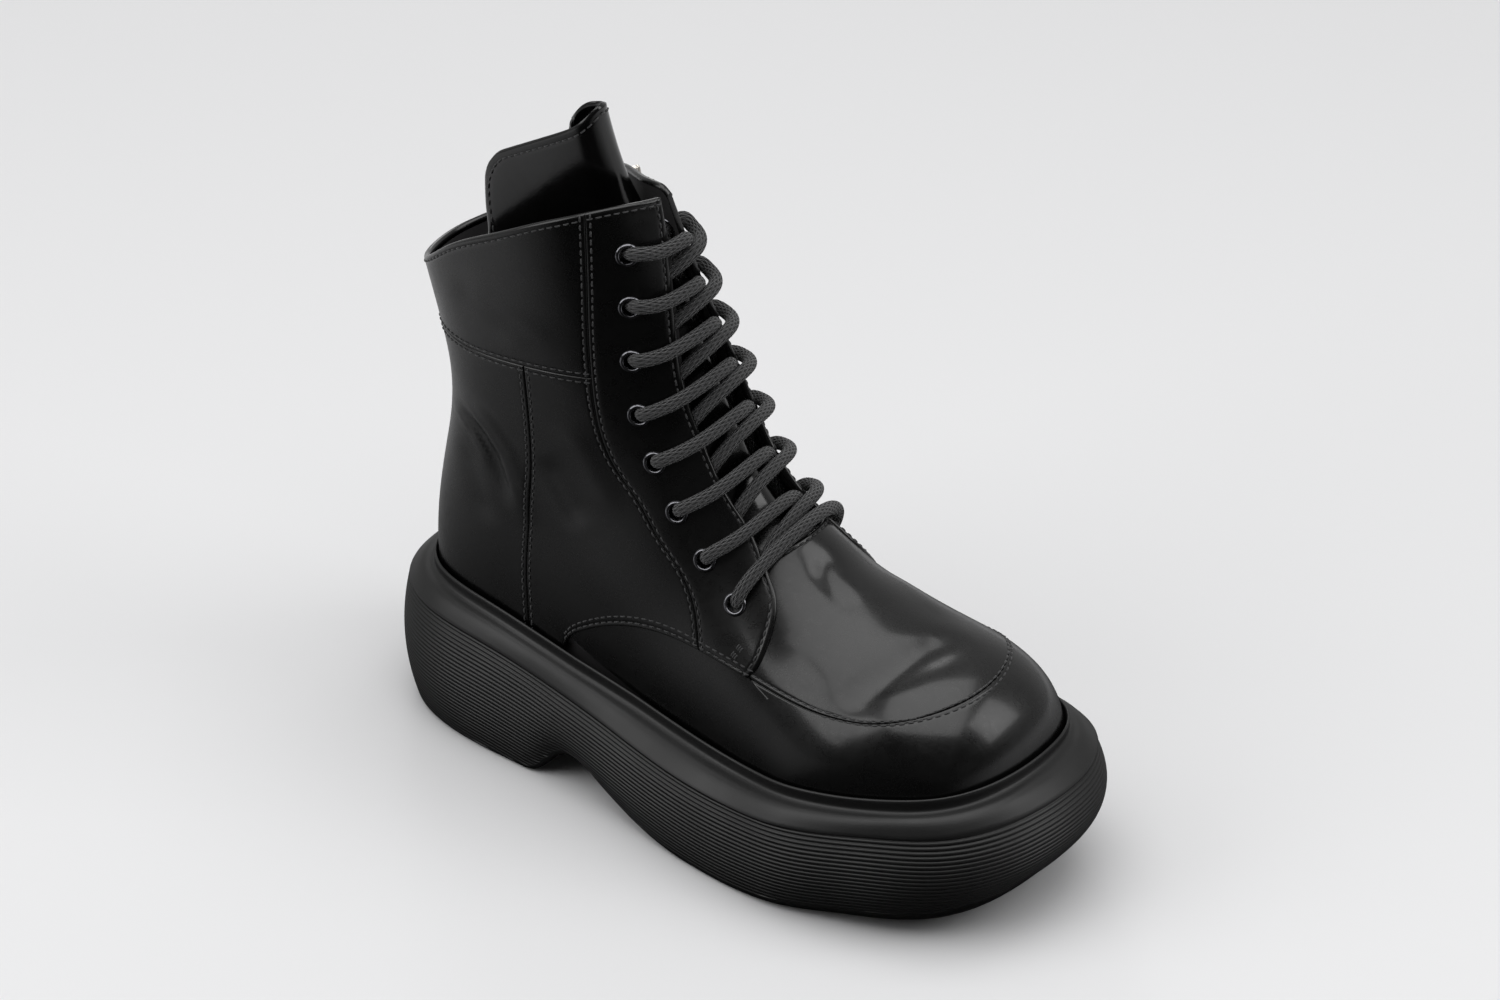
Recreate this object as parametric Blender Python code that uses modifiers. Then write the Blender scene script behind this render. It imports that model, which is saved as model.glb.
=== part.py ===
# Lace-up platform ankle boot, right foot, women's size 38: leather upper, bellows tongue, laces,
# inner side zip and one moulded platform sole. Tables are in millimetres, +X to the toe, +Y to the
# inner (medial) side, +Z up, X = 0 at the back of the sole and Z = 0 on the floor.
import math

import bmesh
import bpy
import numpy as np
from mathutils import Matrix, Vector

MM = 0.001
GAP = 0.3                # clearance between pieces that touch on the real boot
WALL = 1.6               # leather and lining of the vamp
QUARTER_STEP = 1.1       # the quarters lie over the vamp by this much
UPPER_COLUMNS = 38
UPPER_ROWS = 19
SOLE_COLUMNS = 52

# The last, one row a section from the toe round the ankle to above the collar. A section is a
# closed curve through its top, its belt (widest place) and its bottom, seen from the side, with its
# half widths on the lateral and medial side, how full its shoulders are, the ridge's offset, and how far
# the medial shoulder is pressed in, because the empty shaft's inner side leans in at the front.
LAST_COLUMNS = ("top_x", "top_z", "belt_x", "belt_z", "bottom_x", "bottom_z",
                "lateral", "medial", "full_top", "full_bottom", "ridge_y", "press")
LAST_ROWS = {
    "toe edge":     (279, 40, 212, 34, 150, 34, 52.0, 48.0, 0.77, 0.72, 5, 0),
    "toe wall":     (281, 56, 211, 37, 150, 32, 52.0, 48.0, 0.77, 0.72, 5, 0),
    "toe cap":      (274, 79, 210, 42, 152, 30, 52.0, 48.0, 0.76, 0.72, 4, 0),
    "toe top":      (256, 92, 208, 48, 154, 30, 52.5, 48.0, 0.74, 0.72, 3, 0),
    "vamp":         (231, 98, 203, 52, 158, 30, 52.0, 47.0, 0.72, 0.72, 2, 0),
    "ball":         (207, 105, 192, 54, 162, 30, 50.0, 45.0, 0.71, 0.74, 1, 0),
    "vamp point":   (186, 117, 168, 58, 145, 30, 46.0, 40.0, 0.70, 0.76, 1, 0),
    "instep":       (168, 133, 138, 66, 112, 28, 41.0, 35.0, 0.70, 0.78, 0, 0),
    "throat":       (154, 154, 112, 82, 66, 24, 38.0, 33.0, 0.70, 0.80, 0, 0),
    "ankle":        (143, 177, 88, 106, 24, 36, 36.0, 33.0, 0.70, 0.80, 0, 0),
    "heel":         (135, 198, 76, 134, 16, 80, 36.0, 34.0, 0.71, 0.76, -1.5, 5),
    "shaft low":    (129, 215, 72, 162, 22, 114, 37.0, 34.5, 0.72, 0.74, -2.5, 10.5),
    "shaft mid":    (124, 233, 70, 190, 26, 148, 38.0, 31.5, 0.73, 0.74, -3, 15),
    "collar":       (119, 249, 66, 218, 14, 192, 39.0, 28, 0.74, 0.74, -3.5, 17.5),
    "above":        (116, 262, 64, 240, 10, 218, 40.0, 27, 0.74, 0.74, -4, 18),
}

# Height of the feather line, where the upper meets the lip of the sole, and of the collar edge
FEATHER = {"x": (12, 35, 60, 80, 106, 132, 158, 184, 205, 230, 250, 268, 284),
           "z": (66.5, 65.5, 63.5, 60, 56, 52.5, 50.6, 50.4, 52, 55, 58.5, 61.5, 64)}
COLLAR = {"x": (10, 25, 45, 67, 87, 101, 112, 122),
          "z": (191, 199, 215, 228, 238.5, 244, 246.5, 245.5)}

# Sole by distance from the back: flange beyond the feather line at the first rib on either side, how
# much the wall swells below it, how far it tucks in again, and the height and width of the lower bevel
FLANGE = {"x": (10, 25, 50, 80, 110, 140, 165, 190, 205, 220, 235, 250, 262, 274, 284),
          "lateral": (15, 12.5, 11, 9.5, 9, 10, 10.5, 9.5, 8.5, 8, 7.5, 7.5, 8.5, 11, 13.5),
          "medial": (15, 14, 11.5, 9, 7, 7, 7.5, 7.5, 8, 9, 10, 11, 12, 13, 14),
          "swell": (1.5, 1.5, 1, 0.5, 0, 0, 0, 0, 0.5, 1, 1, 1.5, 2.5, 3, 3.5),
          "tuck": (3, 2, 1.5, 2, 3, 3, 3, 3.5, 4.5, 5.5, 6, 6, 5.5, 4.5, 3.5),
          "rise": (3, 2.5, 2, 2, 2.5, 2.5, 2.5, 3, 5, 8, 10.5, 12.5, 14, 15, 16),
          "under": (2.5, 2, 2, 2, 2.5, 2.5, 2.5, 3, 6, 12, 19, 26, 29, 26, 21)}
UNDERSIDE = {"x": (0, 12, 86, 90, 95, 102, 112, 126, 142, 158, 210, 255, 265, 275, 285, 295),
             "z": (0, 0, 0, 5, 13, 18, 15, 8, 2.5, 0, 0, 0, 2, 5, 9, 14)}


def spline(knots, values, at):
    """Natural cubic spline through rows of values, read at any places."""
    knots, values, at = (np.asarray(item, float) for item in (knots, values, at))
    count, step = len(knots), np.diff(knots)
    system = np.zeros((count, count))
    bend = np.zeros((count,) + values.shape[1:])
    system[0, 0] = system[-1, -1] = 1
    for i in range(1, count - 1):
        system[i, i - 1:i + 2] = step[i - 1], 2 * (step[i - 1] + step[i]), step[i]
        bend[i] = 6 * ((values[i + 1] - values[i]) / step[i] - (values[i] - values[i - 1]) / step[i - 1])
    moment = np.linalg.solve(system, bend)
    i = np.clip(np.searchsorted(knots, at, side="right") - 1, 0, count - 2)
    shape = at.shape + (1,) * (values.ndim - 1)
    after, width = (at - knots[i]).reshape(shape), step[i].reshape(shape)
    before = width - after
    return ((moment[i] * before**3 + moment[i + 1] * after**3) / (6 * width)
            + (values[i] / width - moment[i] * width / 6) * before
            + (values[i + 1] / width - moment[i + 1] * width / 6) * after)


def profile(table, column, at):
    return spline(table["x"], table[column], np.clip(at, table["x"][0], table["x"][-1]))


# A section is a closed cubic through eight nodes: 0 ridge, 2 lateral belt, 4 bottom or back, 6 medial belt
NODES = 8
_ring = np.eye(NODES)
_next = np.roll(_ring, 1, 0) + np.roll(_ring, -1, 0)
SECTION_BEND = np.linalg.solve(4 * _ring + _next, 6 * _next - 12 * _ring)
ROWS = np.array(list(LAST_ROWS.values()), float)
_walk = np.sqrt((np.diff(ROWS[:, :6], axis=0).reshape(-1, 3, 2)**2).sum(2)).mean(1)
KNOTS = np.concatenate([[0], np.cumsum(_walk)]) / _walk.sum()


def last(around, along):
    """Outer surface of the vamp: around 0..8 from the ridge by the lateral side, along 0..1 toe to collar."""
    around, along = np.broadcast_arrays(np.asarray(around, float), np.asarray(along, float))
    row = dict(zip(LAST_COLUMNS, np.moveaxis(spline(KNOTS, ROWS, along), -1, 0)))
    nodes = np.zeros(along.shape + (NODES, 3))
    zero, one = 0 * row["lateral"], 0 * row["lateral"] + 1
    lean = 0.6 * row["ridge_y"]

    def put(node, end, reach, y):
        nodes[..., node, 0] = row["belt_x"] + (row[end + "_x"] - row["belt_x"]) * reach
        nodes[..., node, 1] = y
        nodes[..., node, 2] = row["belt_z"] + (row[end + "_z"] - row["belt_z"]) * reach

    top, bottom = row["full_top"], row["full_bottom"]
    put(0, "top", one, row["ridge_y"])
    put(1, "top", top, -row["lateral"] * top + lean * (1 - top))
    put(2, "top", zero, -row["lateral"])
    put(3, "bottom", bottom, -row["lateral"] * bottom)
    put(4, "bottom", one, zero)
    put(5, "bottom", bottom, row["medial"] * bottom)
    put(6, "top", zero, row["medial"])
    put(7, "top", top, row["medial"] * top + lean * (1 - top) - row["press"])
    bend = np.einsum("ij,...jk->...ik", SECTION_BEND, nodes)
    first = np.floor(around).astype(int) % NODES
    after = (around - np.floor(around))[..., None]
    before = 1 - after

    def pick(values, node):
        return np.take_along_axis(values, node[..., None, None] + np.zeros((1, 3), int), axis=-2)[..., 0, :]

    second = (first + 1) % NODES
    return (pick(nodes, first) * before + pick(nodes, second) * after
            + ((before**3 - before) * pick(bend, first) + (after**3 - after) * pick(bend, second)) / 6)


def skin(around, along, lift=0.0):
    """A point of the last moved out along its normal."""
    around, along = np.broadcast_arrays(np.asarray(around, float), np.asarray(along, float))
    small = 0.002
    across = last(around + small, along) - last(around - small, along)
    upward = last(around, along + small) - last(around, along - small)
    normal = np.cross(upward, across)
    normal /= np.linalg.norm(normal, axis=-1, keepdims=True)
    return last(around, along) + normal * np.asarray(lift, float)[..., None]


def first_crossing(around, height):
    """For each column of the last, how far along it rises past the height that is given for its x."""
    along = np.linspace(0, 1, 400)
    point = last(np.asarray(around, float)[:, None], along[None])
    above = point[..., 2] - height(point[..., 0])
    index = np.argmax(above > 0, axis=1)
    index = np.maximum(index, 1)
    low = np.take_along_axis(above, index[:, None] - 1, 1)[:, 0]
    high = np.take_along_axis(above, index[:, None], 1)[:, 0]
    return along[index - 1] + (along[1] - along[0]) * low / (low - high)


def feather_line(around, below=0.0):
    return first_crossing(around, lambda x: profile(FEATHER, "z", x) - below)


def collar_line(around):
    return first_crossing(around, lambda x: profile(COLLAR, "z", x))


def columns(count):
    """Places around the last that are evenly spread on the feather line and collar together."""
    fine = np.linspace(0, NODES / 2, 241)
    edges = (last(fine, feather_line(fine)), last(fine, collar_line(fine)))
    step = sum(np.linalg.norm(np.diff(edge, axis=0), axis=1) for edge in edges)
    length = np.concatenate([[0], np.cumsum(step)])
    half = np.interp(np.linspace(0, length[-1], count // 2 + 1), length, fine)
    return np.concatenate([half, NODES - half[-2:0:-1]])


# ---- scene, materials and meshes

for old in list(bpy.data.objects):
    bpy.data.objects.remove(old, do_unlink=True)
boot = bpy.data.collections.new("lace_up_platform_boot")
cutters = bpy.data.collections.new("cutters")
for collection in (boot, cutters):
    bpy.context.scene.collection.children.link(collection)


def material(name, color, roughness, metallic=0.0):
    made = bpy.data.materials.new(name)
    made.use_nodes = True
    shader = made.node_tree.nodes["Principled BSDF"]
    shader.inputs["Base Color"].default_value = (*color, 1)
    shader.inputs["Roughness"].default_value = roughness
    shader.inputs["Metallic"].default_value = metallic
    return made


LEATHER = material("polished_leather", (0.010, 0.010, 0.011), 0.22)
RUBBER = material("moulded_rubber", (0.018, 0.018, 0.019), 0.55)
LINING = material("insole_leather", (0.030, 0.028, 0.027), 0.70)
CORD = material("braided_cord", (0.020, 0.020, 0.021), 0.85)
GUNMETAL = material("gunmetal", (0.090, 0.090, 0.095), 0.30, 1.0)
NICKEL = material("polished_nickel", (0.620, 0.600, 0.570), 0.18, 1.0)
ZIP_TAPE = material("zip_coil", (0.015, 0.015, 0.016), 0.50)


SHARP_ANGLE = math.radians(40)


def add_object(name, mesh, surface=None, collection=boot):
    mesh.shade_smooth()
    mesh.set_sharp_from_angle(angle=SHARP_ANGLE)
    made = bpy.data.objects.new(name, mesh)
    if surface:
        mesh.materials.append(surface)
    collection.objects.link(made)
    if collection is cutters:
        made.hide_render = True
        made.display_type = "WIRE"
    return made


def from_bmesh(name, work, surface=None, collection=boot):
    mesh = bpy.data.meshes.new(name)
    work.to_mesh(mesh)
    work.free()
    return add_object(name, mesh, surface, collection)


def ring_faces(rows, columns):
    """Quads between closed rings that follow one another."""
    faces = []
    for row in range(0, (rows - 1) * columns, columns):
        for c in range(columns):
            after = (c + 1) % columns
            faces.append((row + c, row + columns + c, row + columns + after, row + after))
    return faces


def ladder(start, columns):
    """Closes a ring that is the same on its left and right with quads straight across it."""
    faces = []
    for c in range(columns // 2):
        quad = [start + c, start + c + 1, start + (columns - c - 1) % columns, start + (columns - c) % columns]
        faces.append(list(dict.fromkeys(quad)))
    return faces


def loft(name, rings, surface=None, collection=boot):
    """A closed solid through rings of points, with both ends closed across."""
    rings = np.asarray(rings)
    rows, columns = rings.shape[:2]
    mesh = bpy.data.meshes.new(name)
    mesh.from_pydata((rings.reshape(-1, 3) * MM).tolist(), [],
                     ring_faces(rows, columns) + ladder(0, columns) + ladder((rows - 1) * columns, columns))
    work = bmesh.new()
    work.from_mesh(mesh)
    bmesh.ops.recalc_face_normals(work, faces=work.faces)
    work.to_mesh(mesh)
    work.free()
    return add_object(name, mesh, surface, collection)


def box(name, low, high, surface=None, collection=boot):
    low, high = Vector(low) * MM, Vector(high) * MM
    work = bmesh.new()
    bmesh.ops.create_cube(work, size=1.0)
    bmesh.ops.scale(work, vec=high - low, verts=work.verts)
    bmesh.ops.translate(work, vec=(low + high) / 2, verts=work.verts)
    return from_bmesh(name, work, surface, collection)


def cylinder(name, radius, length, sides, surface=None, collection=boot):
    work = bmesh.new()
    bmesh.ops.create_cone(work, cap_ends=True, segments=sides, radius1=radius * MM, radius2=radius * MM,
                          depth=length * MM)
    return from_bmesh(name, work, surface, collection)


def curve_solid(name, curve, surface=None, collection=boot, matrix=None):
    """Makes a curve's shape a mesh object, with its caps welded on."""
    holder = bpy.data.objects.new(name + "_curve", curve)
    cutters.objects.link(holder)
    if matrix:
        holder.matrix_world = matrix
    bpy.context.view_layer.update()
    shape = bpy.data.meshes.new_from_object(holder.evaluated_get(bpy.context.evaluated_depsgraph_get()))
    work = bmesh.new()
    work.from_mesh(shape)
    bmesh.ops.remove_doubles(work, verts=work.verts, dist=0.00002)
    bmesh.ops.recalc_face_normals(work, faces=work.faces)
    made = from_bmesh(name, work, surface, collection)
    made.matrix_world = holder.matrix_world
    bpy.data.objects.remove(holder, do_unlink=True)
    bpy.data.meshes.remove(shape)
    return made


def poly_curve(name, points, kind, closed):
    curve = bpy.data.curves.new(name, "CURVE")
    curve.dimensions = kind
    line = curve.splines.new("POLY")
    line.points.add(len(points) - 1)
    for spot, point in zip(line.points, points):
        spot.co = (*(float(value) * MM for value in point), 1) if kind == "3D" else (
            float(point[0]) * MM, float(point[1]) * MM, 0, 1)
    line.use_cyclic_u = closed
    return curve


def cord(name, path, radius, surface=None, collection=boot):
    curve = poly_curve(name, path, "3D", False)
    curve.bevel_depth = radius * MM
    curve.bevel_resolution = 2
    curve.use_fill_caps = True
    return curve_solid(name, curve, surface, collection)


def side_prism(name, outline, reach=90.0):
    """A side view outline carried right through the boot."""
    curve = poly_curve(name, outline, "2D", True)
    curve.fill_mode = "BOTH"
    curve.extrude = reach * MM
    return curve_solid(name, curve, collection=cutters, matrix=Matrix.Rotation(math.pi / 2, 4, "X"))


def cut(target, tool, operation="DIFFERENCE", solver="EXACT"):
    change = target.modifiers.new(tool.name, "BOOLEAN")
    change.operation = operation
    change.object = tool
    change.solver = solver


def thicken(target, thickness):
    """Gives an open surface a wall on its inner side."""
    wall = target.modifiers.new("wall", "SOLIDIFY")
    wall.thickness = thickness * MM
    wall.offset = -1
    wall.use_even_offset = True


# ---- upper

def upper_surface(name, lift, below, past_collar, surface=None, collection=boot):
    """Open surface from under the feather line to the collar, with shorter rows low down."""
    around = columns(UPPER_COLUMNS)
    low, high = feather_line(around, below), collar_line(around) + past_collar
    share = np.linspace(0, 1, UPPER_ROWS) ** 1.35
    along = low + (high - low) * share[:, None]
    rings = skin(around[None] + 0 * along, along, lift + 0 * along)
    mesh = bpy.data.meshes.new(name)
    mesh.from_pydata((rings.reshape(-1, 3) * MM).tolist(), [], ring_faces(UPPER_ROWS, len(around)))
    return add_object(name, mesh, surface, collection)


THROAT_END = 0.272        # along the last, where the vamp closes the throat
# Half widths of the throat on the surface, as places around the last, by distance along it
THROAT = {"x": (THROAT_END, 0.29, 0.33, 0.40, 0.48, 0.60, 0.72, 0.82, 0.90, 1.0),
          "lateral": (0.18, 0.45, 0.56, 0.58, 0.58, 0.56, 0.42, 0.31, 0.24, 0.20),
          "medial": (0.18, 0.45, 0.56, 0.58, 0.58, 0.56, 0.50, 0.46, 0.42, 0.38)}
# Side view of the quarters' lower front edge, from the sole up to the tip and round the facing's foot
QUARTER_EDGE = ((93, 40), (94, 57), (98, 65), (105, 70), (118, 77), (131, 81.5), (150, 83.5), (169, 82.5),
                (180, 81), (184.5, 84), (187, 91), (187, 99), (184.5, 107), (180, 113.5), (172, 124), (180, 160),
                (190, 280), (-20, 280), (-20, 40))


def throat_half(along, side):
    return float(profile(THROAT, side, along))


def throat_cutter(name, start, end):
    """A bar along the ridge, wide as the throat, from well inside the wall to well outside it."""
    along = np.concatenate([[start], np.linspace(start + 0.02, end, 14)])
    rings = []
    for place in along:
        across = np.linspace(-throat_half(place, "medial"), throat_half(place, "lateral"), 5)
        inner, outer = (skin(across, place, lift + 0 * across) for lift in (-9.0, 9.0))
        rings.append(np.concatenate([inner, outer[::-1]]))
    return loft(name, rings, collection=cutters)


def surface_place(x, z, side):
    """Place on the last, around and along, of a point seen from one side."""
    around = np.linspace(0.05, 3.95, 160)
    if side > 0:
        around = NODES - around
    along = np.linspace(0.02, 0.999, 300)
    point = last(around[:, None], along[None])
    away = (point[..., 0] - x)**2 + (point[..., 2] - z)**2
    i, j = np.unravel_index(away.argmin(), away.shape)
    best = np.array([around[i], along[j]])
    for _ in range(6):
        here = last(*best)
        small = 0.001
        du = (last(best[0] + small, best[1]) - here) / small
        dv = (last(best[0], best[1] + small) - here) / small
        slope = np.array([[du[0], dv[0]], [du[2], dv[2]]])
        best = best + np.linalg.solve(slope, [x - here[0], z - here[2]])
    return best


# Eyelets, seen from the side, top to bottom; the medial row mirrors the lateral one
EYELETS = ((115, 228), (117, 207.5), (118.5, 186), (122, 164.5), (129.5, 147), (140.5, 130.5),
           (154, 115.5), (169.5, 103.5))
EYELET = {"inner": 2.5, "barrel": 3.0, "hole": 3.55, "outer": 4.5, "height": 0.9, "sides": 8}


def frame_on(place, lift):
    """Placing matrix on the surface of the last: Z out of it, X up along the boot."""
    point = skin(place[0], place[1], lift)
    out = skin(place[0], place[1], lift + 1.0) - point
    up = last(place[0], place[1] + 0.004) - last(place[0], place[1] - 0.004)
    up -= out * (up @ out)
    up /= np.linalg.norm(up)
    side = np.cross(out, up)
    matrix = Matrix([list(row) for row in np.stack([up, side, out], 1)]).to_4x4()
    matrix.translation = Vector(point * MM)
    return matrix


def make_eyelets(upper):
    """Flanged rings, one to a hole, turned from one profile."""
    fit, face = EYELET, QUARTER_STEP + 2 * GAP
    outline = ((fit["inner"] + 0.3, face + fit["height"]), (fit["outer"] - 0.5, face + fit["height"]),
               (fit["outer"], face), (fit["barrel"], face), (fit["barrel"], -WALL - 0.4), (fit["inner"], -WALL - 0.4))
    mesh = bpy.data.meshes.new("eyelet_profile")
    mesh.from_pydata([(radius * MM, 0, height * MM) for radius, height in outline],
                     [(i, (i + 1) % len(outline)) for i in range(len(outline))], [])
    mesh.materials.append(GUNMETAL)
    for side, word in ((-1, "lateral"), (1, "medial")):
        for number, (x, z) in enumerate(EYELETS, 1):
            matrix = frame_on(surface_place(x, z, side), 0.0)
            hole = cylinder(f"eyelet_hole_{word}_{number}", fit["hole"], 16, fit["sides"], collection=cutters)
            hole.matrix_world = matrix
            cut(upper, hole, solver="MANIFOLD")
            ring = add_object(f"eyelet_{word}_{number}", mesh)
            ring.matrix_world = matrix
            turn = ring.modifiers.new("turn", "SCREW")
            turn.steps = turn.render_steps = fit["sides"]
            turn.use_merge_vertices = True
            turn.merge_threshold = 0.00001


def make_upper():
    made = upper_surface("upper", 0.0, 3.6, 0.0, LEATHER)
    thicken(made, WALL)
    quarters = upper_surface("quarter_layer", QUARTER_STEP, 3.3, -0.002, collection=cutters)
    thicken(quarters, QUARTER_STEP + 0.5)
    cut(quarters, side_prism("quarter_outline", QUARTER_EDGE), "INTERSECT", "MANIFOLD")
    cut(quarters, throat_cutter("facing_foot", 0.19, THROAT_END + 0.01), solver="MANIFOLD")
    cut(made, quarters, "UNION", "MANIFOLD")
    cut(made, throat_cutter("throat", THROAT_END, 1.0), solver="MANIFOLD")
    return made


# ---- sole and insole

RIBS = 7
RIB_DEPTH = 0.7
LIP_DROP, TRAY_DROP, FIRST_RIB_DROP = -0.9, 4.0, 9.5
# Rings of the top of the sole, from the tray the upper stands in, over the lip and groove to the
# shoulder: distance out from the feather line plus a share of the flange, and drop below the lip
TOP_RINGS = ((0.95, 0.0, TRAY_DROP), (1.05, 0.0, -0.2), (1.6, 0.0, LIP_DROP), (2.2, 0.0, 0.2), (2.1, 0.0, 3.6),
             (2.8, 0.06, 4.6), (3.0, 0.35, 5.0), (2.4, 0.62, 6.6), (0.6, 0.9, 8.7))
# Tread grooves across the sole: first and last place, depth, pitch, lateral and medial end
GROOVES = {"heel": (26, 62, 2, 12, -24, 24), "forefoot": (168, 228, 2, 12, -32, 28)}


def feather_ring(count):
    """The feather line and the outward direction in plan at each of its points."""
    around = columns(count)
    line = last(around, feather_line(around))
    tangent = np.roll(line, -1, 0) - np.roll(line, 1, 0)
    outward = np.stack([-tangent[:, 1], tangent[:, 0]], 1)
    outward /= np.linalg.norm(outward, axis=1, keepdims=True)
    outward *= np.sign(((line[:, :2] - line[:, :2].mean(0)) * outward).sum(1, keepdims=True))
    return line, outward


def flange(line):
    """Flange at each place of the feather line, and how the wall below it swells, tucks in and ends."""
    share = np.clip(0.5 + line[:, 1] / 24, 0, 1)
    x = line[:, 0]
    width = profile(FLANGE, "lateral", x) * (1 - share) + profile(FLANGE, "medial", x) * share
    return width, *(profile(FLANGE, column, x) for column in ("swell", "tuck", "rise", "under"))


def underside(x):
    return np.interp(x, UNDERSIDE["x"], UNDERSIDE["z"])


def make_sole():
    line, outward = feather_ring(SOLE_COLUMNS)
    width, swell, tuck, rise, under = flange(line)

    def ring(out, height):
        plan = line[:, :2] + outward * np.reshape(out, (-1, 1))
        return np.column_stack([plan, height(plan[:, 0])])

    # the lip runs outside the quarters, which lie over the vamp from the heel to the waist
    step = QUARTER_STEP * np.clip((132 - line[:, 0]) / 30, 0, 1)
    rings = [ring(out + step * (1 - share) + share * width, lambda x, drop=drop: profile(FEATHER, "z", x) - drop)
             for out, share, drop in TOP_RINGS]
    foot = width - tuck
    for number in range(2 * RIBS + 1):
        share = number / (2 * RIBS)
        out = width + 4 * swell * share * (1 - share) - tuck * share**2.2 - RIB_DEPTH * (number % 2)
        rings.append(ring(out, lambda x, share=share: (profile(FEATHER, "z", x) - FIRST_RIB_DROP) * (1 - share)
                                                      + (underside(x) + rise) * share))
    rings.append(ring(foot - 0.35 * under, lambda x: underside(x) + 0.5 * rise))
    rings.append(ring(foot - under, underside))
    made = loft("sole", rings, RUBBER)
    for name, (first, final, depth, pitch, low, high) in GROOVES.items():
        for number, x in enumerate(np.arange(first, final + 1, pitch)):
            block = box(f"groove_{name}_{number}", (x - 2, low, -3), (x + 2, high, depth), collection=cutters)
            cut(made, block)
    return made


def make_insole():
    line, outward = feather_ring(32)
    rings = []
    for inset, drop in ((3.0, TRAY_DROP - 1.5 * GAP), (3.0, 1.4), (4.0, 0.9)):
        plan = line[:, :2] - outward * inset
        rings.append(np.column_stack([plan, profile(FEATHER, "z", plan[:, 0]) - drop]))
    return loft("insole", rings, LINING)


# ---- tongue

TONGUE_THICK = 1.8
TONGUE_ACROSS = 13
# Rows of the tongue inside the boot: place along the last, half width around it, depth below it
TONGUE_ROWS = {"along": (0.245, 0.30, 0.36, 0.45, 0.55, 0.65, 0.74),
               "half": (0.85, 1.05, 1.2, 1.35, 1.45, 1.55, 1.7),
               "depth": (2.4, 6.2, 7.8, 7.6, 7.5, 7.7, 9.0)}
# Rows above: front edge and height there, radius of the roll, its middle, and the wings' back ends
TONGUE_TOP = {"front_x": (108, 103, 100, 98.5), "front_z": (231, 246, 262, 279), "bend": (11, 8, 6.5, 6),
              "middle_y": (-4, -7, -10.5, -14), "lateral_x": (53, 53, 53, 55), "medial_x": (58, 66, 74, 80),
              "lateral": (-23, -22, -20.5, -19), "medial": (14, 6, -1, -6)}


def tongue_row_inside(along, half, depth):
    across = np.linspace(-1, 1, TONGUE_ACROSS)
    return skin(-across * half, along + 0 * across, -depth + 0 * across)


def tongue_row_top(front_x, front_z, bend, middle_y, lateral_x, medial_x, lateral, medial):
    """A row of the free tongue: a tight roll at the front and a wing on each side, lower towards the back."""
    points = []
    for across in np.linspace(-1, 1, TONGUE_ACROSS):
        side, reach, back_x = (-1, lateral, lateral_x) if across < 0 else (1, medial, medial_x)
        turn = min(abs(across) / 0.42, 1) * math.pi / 2
        leg = max(abs(across) - 0.42, 0) / 0.58
        x = front_x - bend * (1 - math.cos(turn)) - (front_x - bend - back_x) * leg
        start = middle_y + side * bend * math.sin(turn)
        back = front_x - x
        drop = 5 * (1 - math.exp(-back / 6)) + 0.68 * back + 20 * max(leg - 0.75, 0)
        points.append((x, start + (reach - start) * leg, front_z - drop))
    return np.array(points)


def make_tongue():
    rows = [tongue_row_inside(*row) for row in zip(*TONGUE_ROWS.values())]
    rows += [tongue_row_top(*row) for row in zip(*TONGUE_TOP.values())]
    rows = np.array(rows).reshape(len(rows), -1)
    smooth = spline(np.arange(len(rows)), rows, np.linspace(0, len(rows) - 1, 16))
    mesh = bpy.data.meshes.new("tongue")
    wide = TONGUE_ACROSS
    mesh.from_pydata((smooth.reshape(-1, 3) * MM).tolist(), [],
                     [(r * wide + c, r * wide + c + 1, (r + 1) * wide + c + 1, (r + 1) * wide + c)
                      for r in range(len(smooth) - 1) for c in range(wide - 1)])
    made = add_object("tongue", mesh, LEATHER)
    thicken(made, TONGUE_THICK)
    return made


# ---- laces

LACE_RADIUS = 2.3
LACE_OVER = QUARTER_STEP + GAP + LACE_RADIUS + 0.2


def lace_path(start, end, rise):
    """Over the facing on its own side, down across the throat and short of the other facing."""
    side = 1 if start[0] < NODES / 2 else -1
    begin = start[0] if side > 0 else start[0] - NODES
    middle = (start[1] + end[1]) / 2
    own, other = ("lateral", "medial") if side > 0 else ("medial", "lateral")
    edge, far = side * (throat_half(middle, own) + 0.03), -side * (throat_half(middle, other) - 0.16)
    stations = ((begin * 0.66, 0.08, LACE_OVER), (edge, 0.2, LACE_OVER), (edge * 0.55, 0.36, 1.9 + rise),
                (0.0, 0.5, rise - 1.2), (far * 0.7, 0.66, -3.0), (far, 0.74, -3.6))
    points = [skin(around, start[1] + (end[1] - start[1]) * share, lift) for around, share, lift in stations]
    knots = np.arange(len(points))
    return spline(knots, np.array(points), np.linspace(0, len(points) - 1, 7))


def make_laces():
    places = {side: [surface_place(x, z, side) for x, z in EYELETS] for side in (-1, 1)}
    for level in range(len(EYELETS) - 1):
        made = cord(f"lace_cross_{level + 1}", lace_path(places[-1][level], places[1][level + 1], 1.4),
                    LACE_RADIUS, CORD)
        other = cord(f"lace_strand_{level + 1}", lace_path(places[1][level], places[-1][level + 1], 0.0),
                     LACE_RADIUS, collection=cutters)
        cut(made, other, "UNION")
    lateral, medial = places[-1][-1], places[1][-1]
    stations = np.linspace(-0.70, 0.70, 7)
    bar = [skin(lateral[0] * share if share > 0 else (NODES - medial[0]) * share,
                (lateral[1] + medial[1]) / 2, LACE_OVER + 1.2 * (1 - abs(share))) for share in stations]
    cord("lace_bar", bar, LACE_RADIUS, CORD)


# ---- inner side zip

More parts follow.
